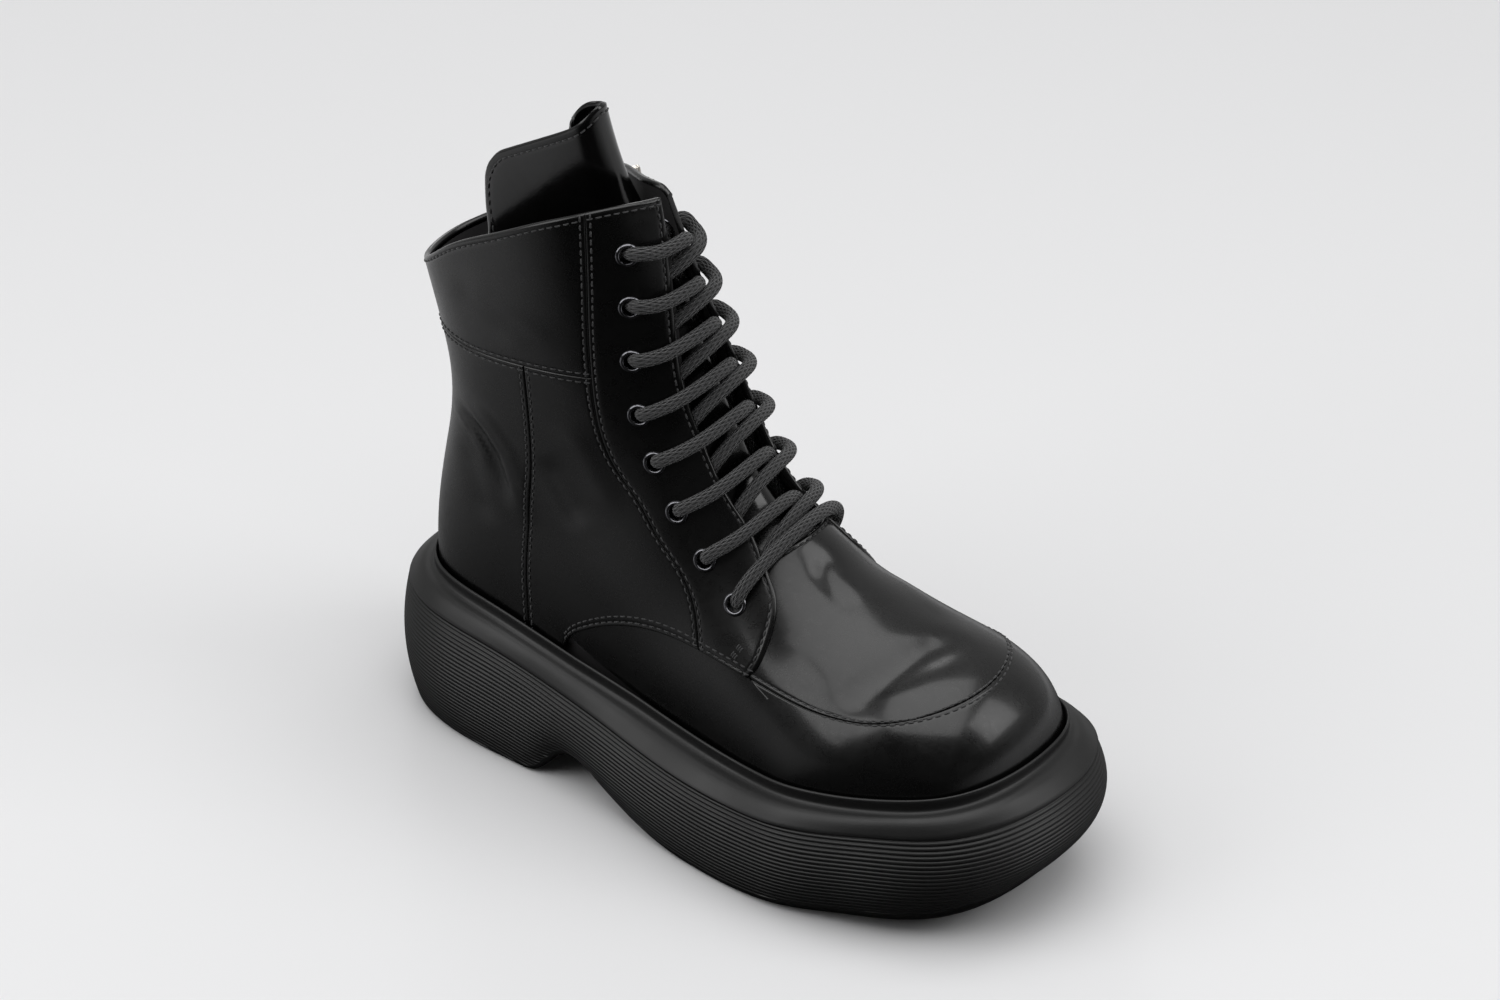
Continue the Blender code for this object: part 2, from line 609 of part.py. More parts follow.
ZIP_LINE = ((79.3, 236), (80.6, 217), (82.3, 200), (88.9, 156), (94.9, 130), (101, 105), (107, 89), (112.5, 78))
ZIP_HALF = 2.5
SLIDER_Z = 225.5
PULL_LENGTH, PULL_WIDTH, PULL_THICK = 29.0, 5.6, 1.2
HINGE_LIFT = 5.6


def zip_sections(half, low, high, above=0.0, beyond=0.0):
    places = np.array([surface_place(x, z, 1) for x, z in ZIP_LINE])
    fine = spline(np.arange(len(places)), places, np.linspace(0, len(places) - 1, 15))
    middle = skin(fine[:, 0], fine[:, 1])
    out = skin(fine[:, 0], fine[:, 1], 1.0) - middle
    way = np.gradient(middle, axis=0)
    way /= np.linalg.norm(way, axis=1, keepdims=True)
    middle[0] -= way[0] * above
    middle[-1] += way[-1] * beyond
    side = np.cross(way, out)
    return [[m + s * half * sx + o * lift for sx, lift in ((-1, low), (1, low), (1, high), (-1, high))]
            for m, s, o in zip(middle, side, out)]


def local_frame():
    return frame_on(surface_place(79.8, SLIDER_Z, 1), 0.0)


def place(made, matrix, offset=(0, 0, 0)):
    made.matrix_world = matrix @ Matrix.Translation(Vector(offset) * MM)
    return made


def make_zip(upper):
    slot = loft("zip_slot", zip_sections(ZIP_HALF + 0.4, 0.25, 6.0, 12.0, 0.5), collection=cutters)
    cut(upper, slot, solver="MANIFOLD")
    loft("zip_coil", zip_sections(ZIP_HALF, 0.55, 1.7), ZIP_TAPE)
    matrix = local_frame()
    base = QUARTER_STEP + 1.1
    outline = ((-5, -2.8), (5, -3.8), (5, 3.8), (-5, 2.8))
    body = loft("zip_slider", [[(*corner, base) for corner in outline], [(*corner, base + 2) for corner in outline]],
                NICKEL)
    top = HINGE_LIFT + 1.6
    for name, low, high in (("bridge_foot_low", (-4.4, -1.1, base + 1), (-3.0, 1.1, top)),
                            ("bridge_foot_high", (3.0, -1.1, base + 1), (4.4, 1.1, top)),
                            ("bridge_bar", (-4.4, -1.1, top - 0.1), (4.4, 1.1, top + 1.0))):
        cut(body, place(box(name, low, high, collection=cutters), matrix), "UNION", "MANIFOLD")
    place(body, matrix)
    bar, half = 0.6, PULL_WIDTH / 2
    pull = box("zip_pull", (-PULL_LENGTH, -half, -PULL_THICK / 2), (bar, half, PULL_THICK / 2), NICKEL)
    window = box("pull_window", (-6.2, -1.5, -3), (-bar, 1.5, 3), collection=cutters)
    block = box("pull_end", (-PULL_LENGTH - 0.6, -half - 0.1, -1.1), (-PULL_LENGTH + 5, half + 0.1, 1.1),
                collection=cutters)
    cut(pull, window)
    cut(pull, block, "UNION")
    for piece in (pull, window, block):
        place(piece, matrix, (0, 0, HINGE_LIFT))


# ---- assembly

upper = make_upper()
make_eyelets(upper)
make_zip(upper)
make_sole()
make_insole()
make_tongue()
make_laces()

# everything hangs on one empty, so that the origin is under the middle of the boot's box
origin = bpy.data.objects.new("boot_origin", None)
boot.objects.link(origin)
for piece in [*boot.objects, *cutters.objects]:
    if piece is not origin:
        piece.parent = origin
bpy.context.view_layer.update()
graph = bpy.context.evaluated_depsgraph_get()
corners = np.array([list(piece.matrix_world @ Vector(corner)) for piece in boot.objects if piece.type == "MESH"
                    for corner in piece.evaluated_get(graph).bound_box])
low, high = corners.min(0), corners.max(0)
origin.location = (-(low[0] + high[0]) / 2, -(low[1] + high[1]) / 2, -low[2])
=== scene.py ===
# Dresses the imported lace-up platform ankle boot: leather panels with their seams and stitches,
# lining, tongue, lace, eyelets, side zip and the ribbed sole. Tables are in millimetres, X = 0 at
# the back of the sole, +Y to the inner (medial) side, Z = 0 on the floor.
import math

import bmesh
import bpy
import numpy as np
from mathutils import Matrix, Vector


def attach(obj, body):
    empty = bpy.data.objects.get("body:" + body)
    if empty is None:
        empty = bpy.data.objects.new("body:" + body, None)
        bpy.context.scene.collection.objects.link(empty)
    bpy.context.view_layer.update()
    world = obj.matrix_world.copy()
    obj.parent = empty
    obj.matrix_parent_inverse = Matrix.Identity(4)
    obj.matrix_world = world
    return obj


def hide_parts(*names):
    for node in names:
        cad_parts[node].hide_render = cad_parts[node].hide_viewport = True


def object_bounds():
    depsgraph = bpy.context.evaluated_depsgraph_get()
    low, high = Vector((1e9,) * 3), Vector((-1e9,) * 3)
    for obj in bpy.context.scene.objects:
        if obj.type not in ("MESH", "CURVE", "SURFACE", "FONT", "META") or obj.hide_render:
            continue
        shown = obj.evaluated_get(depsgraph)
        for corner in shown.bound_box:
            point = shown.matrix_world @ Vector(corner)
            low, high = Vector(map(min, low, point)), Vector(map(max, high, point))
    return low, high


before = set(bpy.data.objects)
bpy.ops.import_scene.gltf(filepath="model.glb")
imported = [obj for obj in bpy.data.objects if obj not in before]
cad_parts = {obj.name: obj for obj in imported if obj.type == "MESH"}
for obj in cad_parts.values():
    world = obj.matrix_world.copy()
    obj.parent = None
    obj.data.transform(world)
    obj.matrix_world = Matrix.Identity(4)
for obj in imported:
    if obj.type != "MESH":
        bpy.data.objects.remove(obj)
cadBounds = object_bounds()
bootMiddle = (148.262, -2.079, 0.0)     # the row frame's origin, in the tables' millimetres

# The last, a row a section from the toe round the ankle to above the collar: its top, belt and
# bottom seen from the side, half widths, fullness, the ridge's offset, and the press inwards
# of the medial shoulder
lastRows = {
    "toe edge":   (279, 40, 212, 34, 150, 34, 52.0, 48.0, 0.77, 0.72, 5, 0),
    "toe wall":   (281, 56, 211, 37, 150, 32, 52.0, 48.0, 0.77, 0.72, 5, 0),
    "toe cap":    (274, 79, 210, 42, 152, 30, 52.0, 48.0, 0.76, 0.72, 4, 0),
    "toe top":    (256, 92, 208, 48, 154, 30, 52.5, 48.0, 0.74, 0.72, 3, 0),
    "vamp":       (231, 98, 203, 52, 158, 30, 52.0, 47.0, 0.72, 0.72, 2, 0),
    "ball":       (207, 105, 192, 54, 162, 30, 50.0, 45.0, 0.71, 0.74, 1, 0),
    "vamp point": (186, 117, 168, 58, 145, 30, 46.0, 40.0, 0.70, 0.76, 1, 0),
    "instep":     (168, 133, 138, 66, 112, 28, 41.0, 35.0, 0.70, 0.78, 0, 0),
    "throat":     (154, 154, 112, 82, 66, 24, 38.0, 33.0, 0.70, 0.80, 0, 0),
    "ankle":      (143, 177, 88, 106, 24, 36, 36.0, 33.0, 0.70, 0.80, 0, 0),
    "heel":       (135, 198, 76, 134, 16, 80, 36.0, 34.0, 0.71, 0.76, -1.5, 5),
    "shaft low":  (129, 215, 72, 162, 22, 114, 37.0, 34.5, 0.72, 0.74, -2.5, 10.5),
    "shaft mid":  (124, 233, 70, 190, 26, 148, 38.0, 31.5, 0.73, 0.74, -3, 15),
    "collar":     (119, 249, 66, 218, 14, 192, 39.0, 28.0, 0.74, 0.74, -3.5, 17.5),
    "above":      (116, 262, 64, 240, 10, 218, 40.0, 27.0, 0.74, 0.74, -4, 18),
}
leather = {"wall": 1.6, "quarterStep": 1.1}
featherTable = {"x": (12, 35, 60, 80, 106, 132, 158, 184, 205, 230, 250, 268, 284),
                "z": (64, 63.5, 62.5, 60, 56, 52.4, 50.1, 49.6, 51.3, 55, 59, 62, 64.5)}
collarTable = {"x": (10, 25, 45, 67, 87, 101, 112, 122),
               "z": (191, 199, 215, 228, 238.5, 244, 246.5, 245.5)}


def spline(knots, values, at):
    # natural cubic through rows of values
    knots, values, at = (np.asarray(item, float) for item in (knots, values, at))
    count, step = len(knots), np.diff(knots)
    system = np.zeros((count, count))
    bend = np.zeros((count,) + values.shape[1:])
    system[0, 0] = system[-1, -1] = 1
    for i in range(1, count - 1):
        system[i, i - 1:i + 2] = step[i - 1], 2 * (step[i - 1] + step[i]), step[i]
        bend[i] = 6 * ((values[i + 1] - values[i]) / step[i] - (values[i] - values[i - 1]) / step[i - 1])
    moment = np.linalg.solve(system, bend)
    i = np.clip(np.searchsorted(knots, at, side="right") - 1, 0, count - 2)
    shape = at.shape + (1,) * (values.ndim - 1)
    after, width = (at - knots[i]).reshape(shape), step[i].reshape(shape)
    before = width - after
    return ((moment[i] * before**3 + moment[i + 1] * after**3) / (6 * width)
            + (values[i] / width - moment[i] * width / 6) * before
            + (values[i + 1] / width - moment[i + 1] * width / 6) * after)


def profile(table, column, at):
    return spline(table["x"], table[column], np.clip(at, table["x"][0], table["x"][-1]))


# A section is a closed cubic through eight nodes: 0 ridge, 2 lateral belt, 4 bottom or back, 6 medial belt
ringSize = 8
ringUnit = np.eye(ringSize)
ringNext = np.roll(ringUnit, 1, 0) + np.roll(ringUnit, -1, 0)
ringBend = np.linalg.solve(4 * ringUnit + ringNext, 6 * ringNext - 12 * ringUnit)
rowTable = np.array(list(lastRows.values()), float)
rowWalk = np.sqrt((np.diff(rowTable[:, :6], axis=0).reshape(-1, 3, 2)**2).sum(2)).mean(1)
rowPlaces = np.concatenate([[0], np.cumsum(rowWalk)]) / rowWalk.sum()


def lastSurface(around, along):
    # around 0..8 from the ridge by the lateral side, along 0..1 from the toe to above the collar
    around, along = np.broadcast_arrays(np.asarray(around, float), np.asarray(along, float))
    row = spline(rowPlaces, rowTable, along)
    (topX, topZ, beltX, beltZ, bottomX, bottomZ, lateral, medial, top, bottom, ridgeY,
     press) = np.moveaxis(row, -1, 0)
    lean = 0.6 * ridgeY * (1 - top)
    nodes = np.zeros(along.shape + (ringSize, 3))
    reaches = ((topX, topZ, 1, ridgeY), (topX, topZ, top, lean - lateral * top), (topX, topZ, 0, -lateral),
               (bottomX, bottomZ, bottom, -lateral * bottom), (bottomX, bottomZ, 1, 0),
               (bottomX, bottomZ, bottom, medial * bottom), (topX, topZ, 0, medial),
               (topX, topZ, top, lean + medial * top - press))
    for node, (endX, endZ, reach, y) in enumerate(reaches):
        nodes[..., node, 0] = beltX + (endX - beltX) * reach
        nodes[..., node, 1] = y
        nodes[..., node, 2] = beltZ + (endZ - beltZ) * reach
    bend = np.einsum("ij,...jk->...ik", ringBend, nodes)
    first = np.floor(around).astype(int) % ringSize
    second = (first + 1) % ringSize
    after = (around - np.floor(around))[..., None]
    before = 1 - after

    def pick(values, node):
        return np.take_along_axis(values, node[..., None, None] + np.zeros((1, 3), int), axis=-2)[..., 0, :]

    return (pick(nodes, first) * before + pick(nodes, second) * after
            + ((before**3 - before) * pick(bend, first) + (after**3 - after) * pick(bend, second)) / 6)


def skinNormal(around, along):
    small = 0.002
    across = lastSurface(around + small, along) - lastSurface(around - small, along)
    upward = lastSurface(around, along + small) - lastSurface(around, along - small)
    normal = np.cross(upward, across)
    return normal / np.linalg.norm(normal, axis=-1, keepdims=True)


def skin(around, along, lift=0.0):
    # a point of the last moved out along its normal
    around, along = np.broadcast_arrays(np.asarray(around, float), np.asarray(along, float))
    return lastSurface(around, along) + skinNormal(around, along) * np.asarray(lift, float)[..., None]


def levelLine(around, height):
    # for each place around, how far along the surface rises past the height given for its x
    along = np.linspace(0, 1, 500)
    around = np.atleast_1d(np.asarray(around, float))
    point = lastSurface(around[:, None], along[None])
    above = point[..., 2] - height(point[..., 0])
    index = np.maximum(np.argmax(above > 0, axis=1), 1)
    low = np.take_along_axis(above, index[:, None] - 1, 1)[:, 0]
    high = np.take_along_axis(above, index[:, None], 1)[:, 0]
    return along[index - 1] + along[1] * low / (low - high)


def featherLine(around, below=0.0):
    return levelLine(around, lambda x: profile(featherTable, "z", x) - below)


# How far from a facing's front edge the collar starts to dip round its corner, and how deep
collarCorner = {"lateral": (0.07, 0.008), "medial": (0.24, 0.034)}


def collarLine(around):
    line = levelLine(around, lambda x: profile(collarTable, "z", x))
    turned = (np.atleast_1d(np.asarray(around, float)) + 4) % 8 - 4
    for side, word in ((1, "lateral"), (-1, "medial")):
        reach, deep = collarCorner[word]
        away = side * turned - profile(throatTable, word, 1.0)
        near = np.clip(1 - away / reach, 0, 1) * (side * turned > 0)
        line = line - deep * (1 - np.sqrt(1 - near**2))
    return line


searchAround = np.linspace(-4, 4, 161)
searchAlong = np.linspace(0.02, 1.0, 161)
searchPoints = lastSurface(searchAround[:, None], searchAlong[None])


def placesOf(points, weights=(1, 1, 1), side=None):
    # places on the last, around and along, nearest to some points; weights 1, 0, 1 read them from
    # the side
    points, weights = np.asarray(points, float), np.asarray(weights, float)
    found = []
    for point in points:
        away = ((searchPoints - point)**2 * weights).sum(-1)
        if side:
            away = away + 1e6 * (searchAround[:, None] * side > 0.02)
        i, j = np.unravel_index(away.argmin(), away.shape)
        found.append((searchAround[i], searchAlong[j]))
    places = np.array(found)
    small = 0.001
    for _ in range(8):
        here = lastSurface(places[:, 0], places[:, 1])
        slope = np.stack([lastSurface(places[:, 0] + small, places[:, 1]) - here,
                          lastSurface(places[:, 0], places[:, 1] + small) - here], -1) / small
        weighted = slope * weights[:, None]
        square = np.einsum("nki,nkj->nij", weighted, slope)
        right = np.einsum("nki,nk->ni", weighted, points - here)
        places = places + np.clip(np.linalg.solve(square, right[..., None])[..., 0], -0.3, 0.3)
    return places


def sidePlaces(outline, side):
    # places of a line drawn in the side view, as (x, z); side -1 is lateral, 1 medial
    points = [(x, 0.0, z) for x, z in outline]
    return placesOf(points, (1, 0, 1), side)


def toWorld(points):
    return (np.asarray(points, float) - bootMiddle) / 1000


def meshObject(name, points, faces, surface, body="boot"):
    mesh = bpy.data.meshes.new(name)
    mesh.from_pydata(points.tolist(), [], faces.tolist())
    mesh.shade_smooth()
    mesh.materials.append(surface)
    made = bpy.data.objects.new(name, mesh)
    bpy.context.scene.collection.objects.link(made)
    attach(made, body)
    return made


def gridFaces(rows, columns, closed=False, start=0):
    r, c = np.meshgrid(np.arange(rows - 1), np.arange(columns - (0 if closed else 1)), indexing="ij")
    after, low, high = (c + 1) % columns, r * columns, (r + 1) * columns
    quads = np.stack([low + c, low + after, high + after, high + c], -1)
    return quads.reshape(-1, 4) + start


# Round a punched eyelet the leather is cut this far out and this far up and down
punched = {"radius": 2.9, "reach": 8.0}


def joinGrids(name, grids, surface, body="boot", holes=None):
    # grids are (points, closed, flip), in millimetres; holes are the points and ways of eyelets
    points, faces, start = [], [], 0
    for grid, closed, flip in grids:
        quads = gridFaces(grid.shape[0], grid.shape[1], closed, start)
        faces.append(quads[:, ::-1] if flip else quads)
        points.append(grid.reshape(-1, 3))
        start += grid.shape[0] * grid.shape[1]
    points, faces = np.concatenate(points), np.concatenate(faces)
    for centre, way in holes or ():
        away = points[faces].mean(1) - centre
        deep = away @ way
        aside = np.linalg.norm(away - np.outer(deep, way), axis=1)
        faces = faces[(aside > punched["radius"]) | (np.abs(deep) > punched["reach"])]
    return meshObject(name, toWorld(points), faces, surface, body)


def lengthAlong(points):
    return np.concatenate([[0], np.cumsum(np.linalg.norm(np.diff(points, axis=0), axis=1))])


# Soft shape of the leather, shared by every panel. Creases, each a line of places with a height
# (a fold stands up, a trough is below zero) and its half width. On a side (-1 lateral, 1 medial)
# the line is seen from that side, as (x, z); the vamp's lines (side 0) are seen from above, as
# (x, y).
creases = (
    (-1, 0.9, 2.4, ((36, 142), (45, 141), (51.5, 137.5), (57.5, 130), (61, 122))),
    (-1, -1.5, 3.2, ((42, 143), (50, 141.5), (56.5, 137), (62, 130), (66, 119), (70, 108))),
    (-1, 1.5, 5.0, ((42, 155), (50, 150), (60, 143.5), (68.5, 134), (73.5, 120), (79, 104))),
    (-1, -0.9, 6.0, ((44, 132), (49, 122), (54, 108), (60, 96))),
    (-1, -0.8, 6.0, ((84, 140), (92, 128), (104, 112))),
    (-1, 0.5, 7.0, ((92, 158), (104, 140), (118, 120))),
    (-1, 0.4, 6.0, ((50, 210), (64, 198), (84, 190), (92, 182))),
    (-1, -0.4, 6.0, ((44, 200), (62, 190), (76, 184))),
    (1, 0.8, 3.0, ((36, 142), (46, 140), (54, 134), (60, 122))),
    (1, -1.2, 4.0, ((42, 144), (52, 140), (60, 130), (66, 114))),
    (1, 1.1, 5.5, ((44, 155), (56, 147), (68, 134), (76, 112))),
    (1, -0.6, 7.0, ((60, 205), (70, 186), (76, 160))),
    (0, -2.5, 7.5, ((244, 14), (240, 0), (234, -17), (226, -34), (220, -46))),
    (0, -0.8, 4.5, ((184, 2), (192, -7), (201, -10), (210, -8))),
    (0, 0.4, 5.0, ((196, 24), (212, 22), (232, 18))),
)
# Soft dents of the vamp by place in plan (x, y), with their length along x, width along y and depth
dents = ((196, 14, 9, 16, 0.7), (232, 16, 12, 12, 0.4), (196, -32, 12, 7, 0.6))
undulation = {"size": 0.16, "waves": 14, "seed": 5}


def waveField():
    dice = np.random.default_rng(undulation["seed"])
    ways = dice.normal(size=(undulation["waves"], 3))
    ways /= np.linalg.norm(ways, axis=1, keepdims=True)
    lengths = dice.uniform(22, 75, undulation["waves"])
    return ways * (2 * math.pi / lengths)[:, None], dice.uniform(0, 6.28, undulation["waves"]), lengths / 75


waveWays, waveStarts, waveSizes = waveField()


def nearLine(places, line):
    # distance of some places from a line in the same view, and the share of its length they lie at
    length = lengthAlong(line)
    best, share = np.full(len(places), 1e9), np.zeros(len(places))
    for start, end, before in zip(line[:-1], line[1:], length):
        way = end - start
        part = np.clip((places - start) @ way / (way @ way), 0, 1)
        away = np.linalg.norm(places - start - part[:, None] * way, axis=1)
        nearer = away < best
        best = np.where(nearer, away, best)
        share = np.where(nearer, (before + part * np.linalg.norm(way)) / length[-1], share)
    return best, share


def softShape(points):
    # how far the leather stands in or out of the last at some points of it
    flat = points.reshape(-1, 3)
    lift = (np.sin(flat @ waveWays.T + waveStarts) * waveSizes).sum(1) * undulation["size"] / 2
    for side, height, width, line in creases:
        away, share = nearLine(flat[:, (0, 2) if side else (0, 1)], np.array(line, float))
        ends = np.clip(np.minimum(share, 1 - share) / 0.3, 0, 1)
        there = np.clip(flat[:, 1] * side / 12, 0, 1) if side else np.clip((flat[:, 2] - 76) / 10, 0, 1)
        lift += height * np.exp(-(away / width)**2) * ends * ends * (3 - 2 * ends) * there
    for x, y, long, wide, depth in dents:
        near = np.exp(-((flat[:, 0] - x) / long)**2 - ((flat[:, 1] - y) / wide)**2)
        lift -= depth * near * np.clip((flat[:, 2] - 70) / 15, 0, 1)
    return lift.reshape(points.shape[:-1])


def leatherAt(around, along, lift):
    base = lastSurface(around, along)
    return base + skinNormal(around, along) * (np.asarray(lift, float) + softShape(base))[..., None]


# Lines drawn on the last, as rows of places
def smoothLine(places, count=120):
    places = np.asarray(places, float)
    length = lengthAlong(lastSurface(places[:, 0], places[:, 1]))
    return spline(length, places, np.linspace(0, length[-1], count))


def joinLines(*lines):
    return np.concatenate([lines[0]] + [line[1:] for line in lines[1:]])


def lineReader(line):
    length = lengthAlong(lastSurface(line[:, 0], line[:, 1]))
    length /= length[-1]
    return lambda share: np.stack([np.interp(share, length, line[:, i]) for i in (0, 1)], -1)


def crossingOf(line, level):
    # share of a line's points at which it crosses a level line given as along = level(around)
    above = line[:, 1] - level(line[:, 0])
    index = np.nonzero(np.diff(np.sign(above)))[0]
    if not len(index):
        return None
    i = index[0]
    return i + above[i] / (above[i] - above[i + 1])


def between(line, low=None, high=None):
    # the part of a line between two level lines, with its ends exactly on them
    steps = np.arange(len(line))
    first = 0.0 if low is None else crossingOf(line, low)
    final = len(line) - 1.0 if high is None else crossingOf(line, high)
    first, final = (0.0 if first is None else first), (len(line) - 1.0 if final is None else final)
    inner = steps[(steps > first) & (steps < final)]
    at = np.concatenate([[first], inner, [final]])
    return np.stack([np.interp(at, steps, line[:, i]) for i in (0, 1)], -1)


def levelPart(level, start, end, count=90):
    around = np.linspace(start, end, count)
    return np.column_stack([around, level(around)])


# Edges of a panel: distance in from its edge and drop below its face, outermost first
edgeKinds = {
    "seam": ((0.0, 0.55), (0.12, 0.34), (0.3, 0.17), (0.55, 0.06), (0.85, 0.0), (1.25, 0.02),
             (1.6, 0.10), (1.85, 0.12), (2.1, 0.10), (2.5, 0.02), (3.2, 0.0)),
    "lap": ((0.0, 1.6), (0.02, 0.8), (0.06, 0.45), (0.16, 0.2), (0.35, 0.05), (0.6, 0.0),
            (1.2, 0.02), (1.5, 0.10), (1.75, 0.12), (2.0, 0.10), (2.4, 0.02), (3.2, 0.0)),
    "fold": ((1.6, 2.75), (0.85, 2.62), (0.35, 2.25), (0.08, 1.7), (0.0, 1.25), (0.1, 0.75),
             (0.4, 0.28), (0.9, 0.04), (1.4, 0.0), (1.8, 0.03), (2.15, 0.13), (2.4, 0.15),
             (2.65, 0.13), (3.0, 0.03), (3.8, 0.0)),
    "under": ((0.0, 0.0),),
}
stitchInset = {"seam": 1.85, "lap": 1.75, "fold": 2.4}


class Panel:
    # a sheet of leather between four lines on the last: bottom and top run left to right, left and
    # right upwards
    def __init__(self, bottom, top, left, right, kinds, lift, cell=1.7):
        self.lines = [lineReader(line) for line in (bottom, top, left, right)]
        self.kinds, self.lift, self.cell = kinds, lift, cell
        even = np.linspace(0, 1, 41)
        places = self.place(even[None] + 0 * even[:, None], even[:, None] + 0 * even[None])
        grid = lastSurface(places[..., 0], places[..., 1])
        self.wide = lambda t: np.interp(t, even, np.linalg.norm(np.diff(grid, axis=1), axis=2).sum(1))
        self.high = lambda s: np.interp(s, even, np.linalg.norm(np.diff(grid, axis=0), axis=2).sum(0))

    def place(self, s, t):
        bottom, top, left, right = self.lines
        s, t = s[..., None], t[..., None]
        lowLeft, lowRight, highLeft, highRight = (line(np.array(end)) for line in (bottom, top)
                                                  for end in (0.0, 1.0))
        return ((1 - t) * bottom(s[..., 0]) + t * top(s[..., 0]) + (1 - s) * left(t[..., 0])
                + s * right(t[..., 0]) - (1 - s) * (1 - t) * lowLeft - s * (1 - t) * lowRight
                - (1 - s) * t * highLeft - s * t * highRight)

    def cells(self, low, high, length):
        # how many even cells fit between the two edges
        return int(max(6, (length - edgeKinds[low][-1][0] - edgeKinds[high][-1][0]) / self.cell))

    def steps(self, low, high, length, cells):
        # places across the panel: fixed distances near both edges, even cells between
        near, far = np.array(edgeKinds[low]), np.array(edgeKinds[high])
        inner = np.linspace(0, 1, cells + 2)[1:-1]
        length = np.atleast_1d(length)[:, None]
        start, end = near[:, 0] / length, 1 - far[::-1, 0] / length
        body = start[:, -1:] + (end[:, :1] - start[:, -1:]) * inner
        drop = np.concatenate([near[:, 1], 0 * inner, far[::-1, 1]])
        return np.concatenate([start, body, end], 1), drop

    def grid(self):
        bottomKind, topKind, leftKind, rightKind = self.kinds
        # the count of cells is fixed by the widest row; rows and columns follow the true widths
        even = np.linspace(0, 1, 21)
        widest, highest = self.wide(even).max(), self.high(even).max()
        across = leftKind, rightKind
        upward = bottomKind, topKind
        cellsAcross, cellsUpward = self.cells(*across, widest), self.cells(*upward, highest)
        s, dropAcross = self.steps(*across, widest, cellsAcross)
        t, dropUpward = self.steps(*upward, highest, cellsUpward)
        s, t = (self.steps(*across, self.wide(t[0]), cellsAcross)[0],
                self.steps(*upward, self.high(s[0]), cellsUpward)[0].T)
        return self.place(s, t), self.lift - np.maximum(dropAcross[None], dropUpward[:, None])

    def build(self, name, surface, holes=None):
        places, lift = self.grid()
        points = leatherAt(places[..., 0], places[..., 1], lift)
        middle = len(points) // 2
        across = points[middle, 1:] - points[middle, :-1]
        upward = points[middle + 1, :-1] - points[middle, :-1]
        out = skinNormal(places[middle, :-1, 0], places[middle, :-1, 1])
        flip = (np.cross(across, upward) * out).sum() < 0
        return joinGrids(name, [(points, False, flip)], surface, holes=holes)

    def row(self, side, inset, start=0.0, end=1.0):
        # a line along one edge of the panel, some way in from it, with its normals
        even = np.linspace(start, end, 400)
        if side in ("left", "right"):
            across = inset / self.wide(even)
            places = self.place(across if side == "left" else 1 - across, even)
        else:
            across = inset / self.high(even)
            places = self.place(even, across if side == "bottom" else 1 - across)
        u, v = places[:, 0], places[:, 1]
        return leatherAt(u, v, self.lift - 0.13 + 0 * u), skinNormal(u, v)


def linear(hexColor):
    # sRGB hex to linear
    parts = [int(hexColor[i:i + 2], 16) / 255 for i in (1, 3, 5)]
    return tuple(p / 12.92 if p <= 0.04045 else ((p + 0.055) / 1.055)**2.4 for p in parts) + (1.0,)


def addNode(tree, kind, settings=None, links=None):
    # a node with its values set and its inputs linked, by the sockets' names or numbers
    node = tree.nodes.new(kind)
    for name, value in (settings or {}).items():
        if isinstance(name, str) and name not in node.inputs:
            setattr(node, name, value)
        else:
            node.inputs[name].default_value = value
    for name, source in (links or {}).items():
        tree.links.new(source, node.inputs[name])
    return node


def newMaterial(name, values):
    made = bpy.data.materials.new(name)
    made.use_nodes = True
    tree = made.node_tree
    shader = tree.nodes["Principled BSDF"]
    for socket, value in values.items():
        shader.inputs[socket].default_value = value
    position = addNode(tree, "ShaderNodeTexCoord").outputs["Object"]
    return made, tree, shader, position


def perMetre(millimetres):
    return 1000 / millimetres


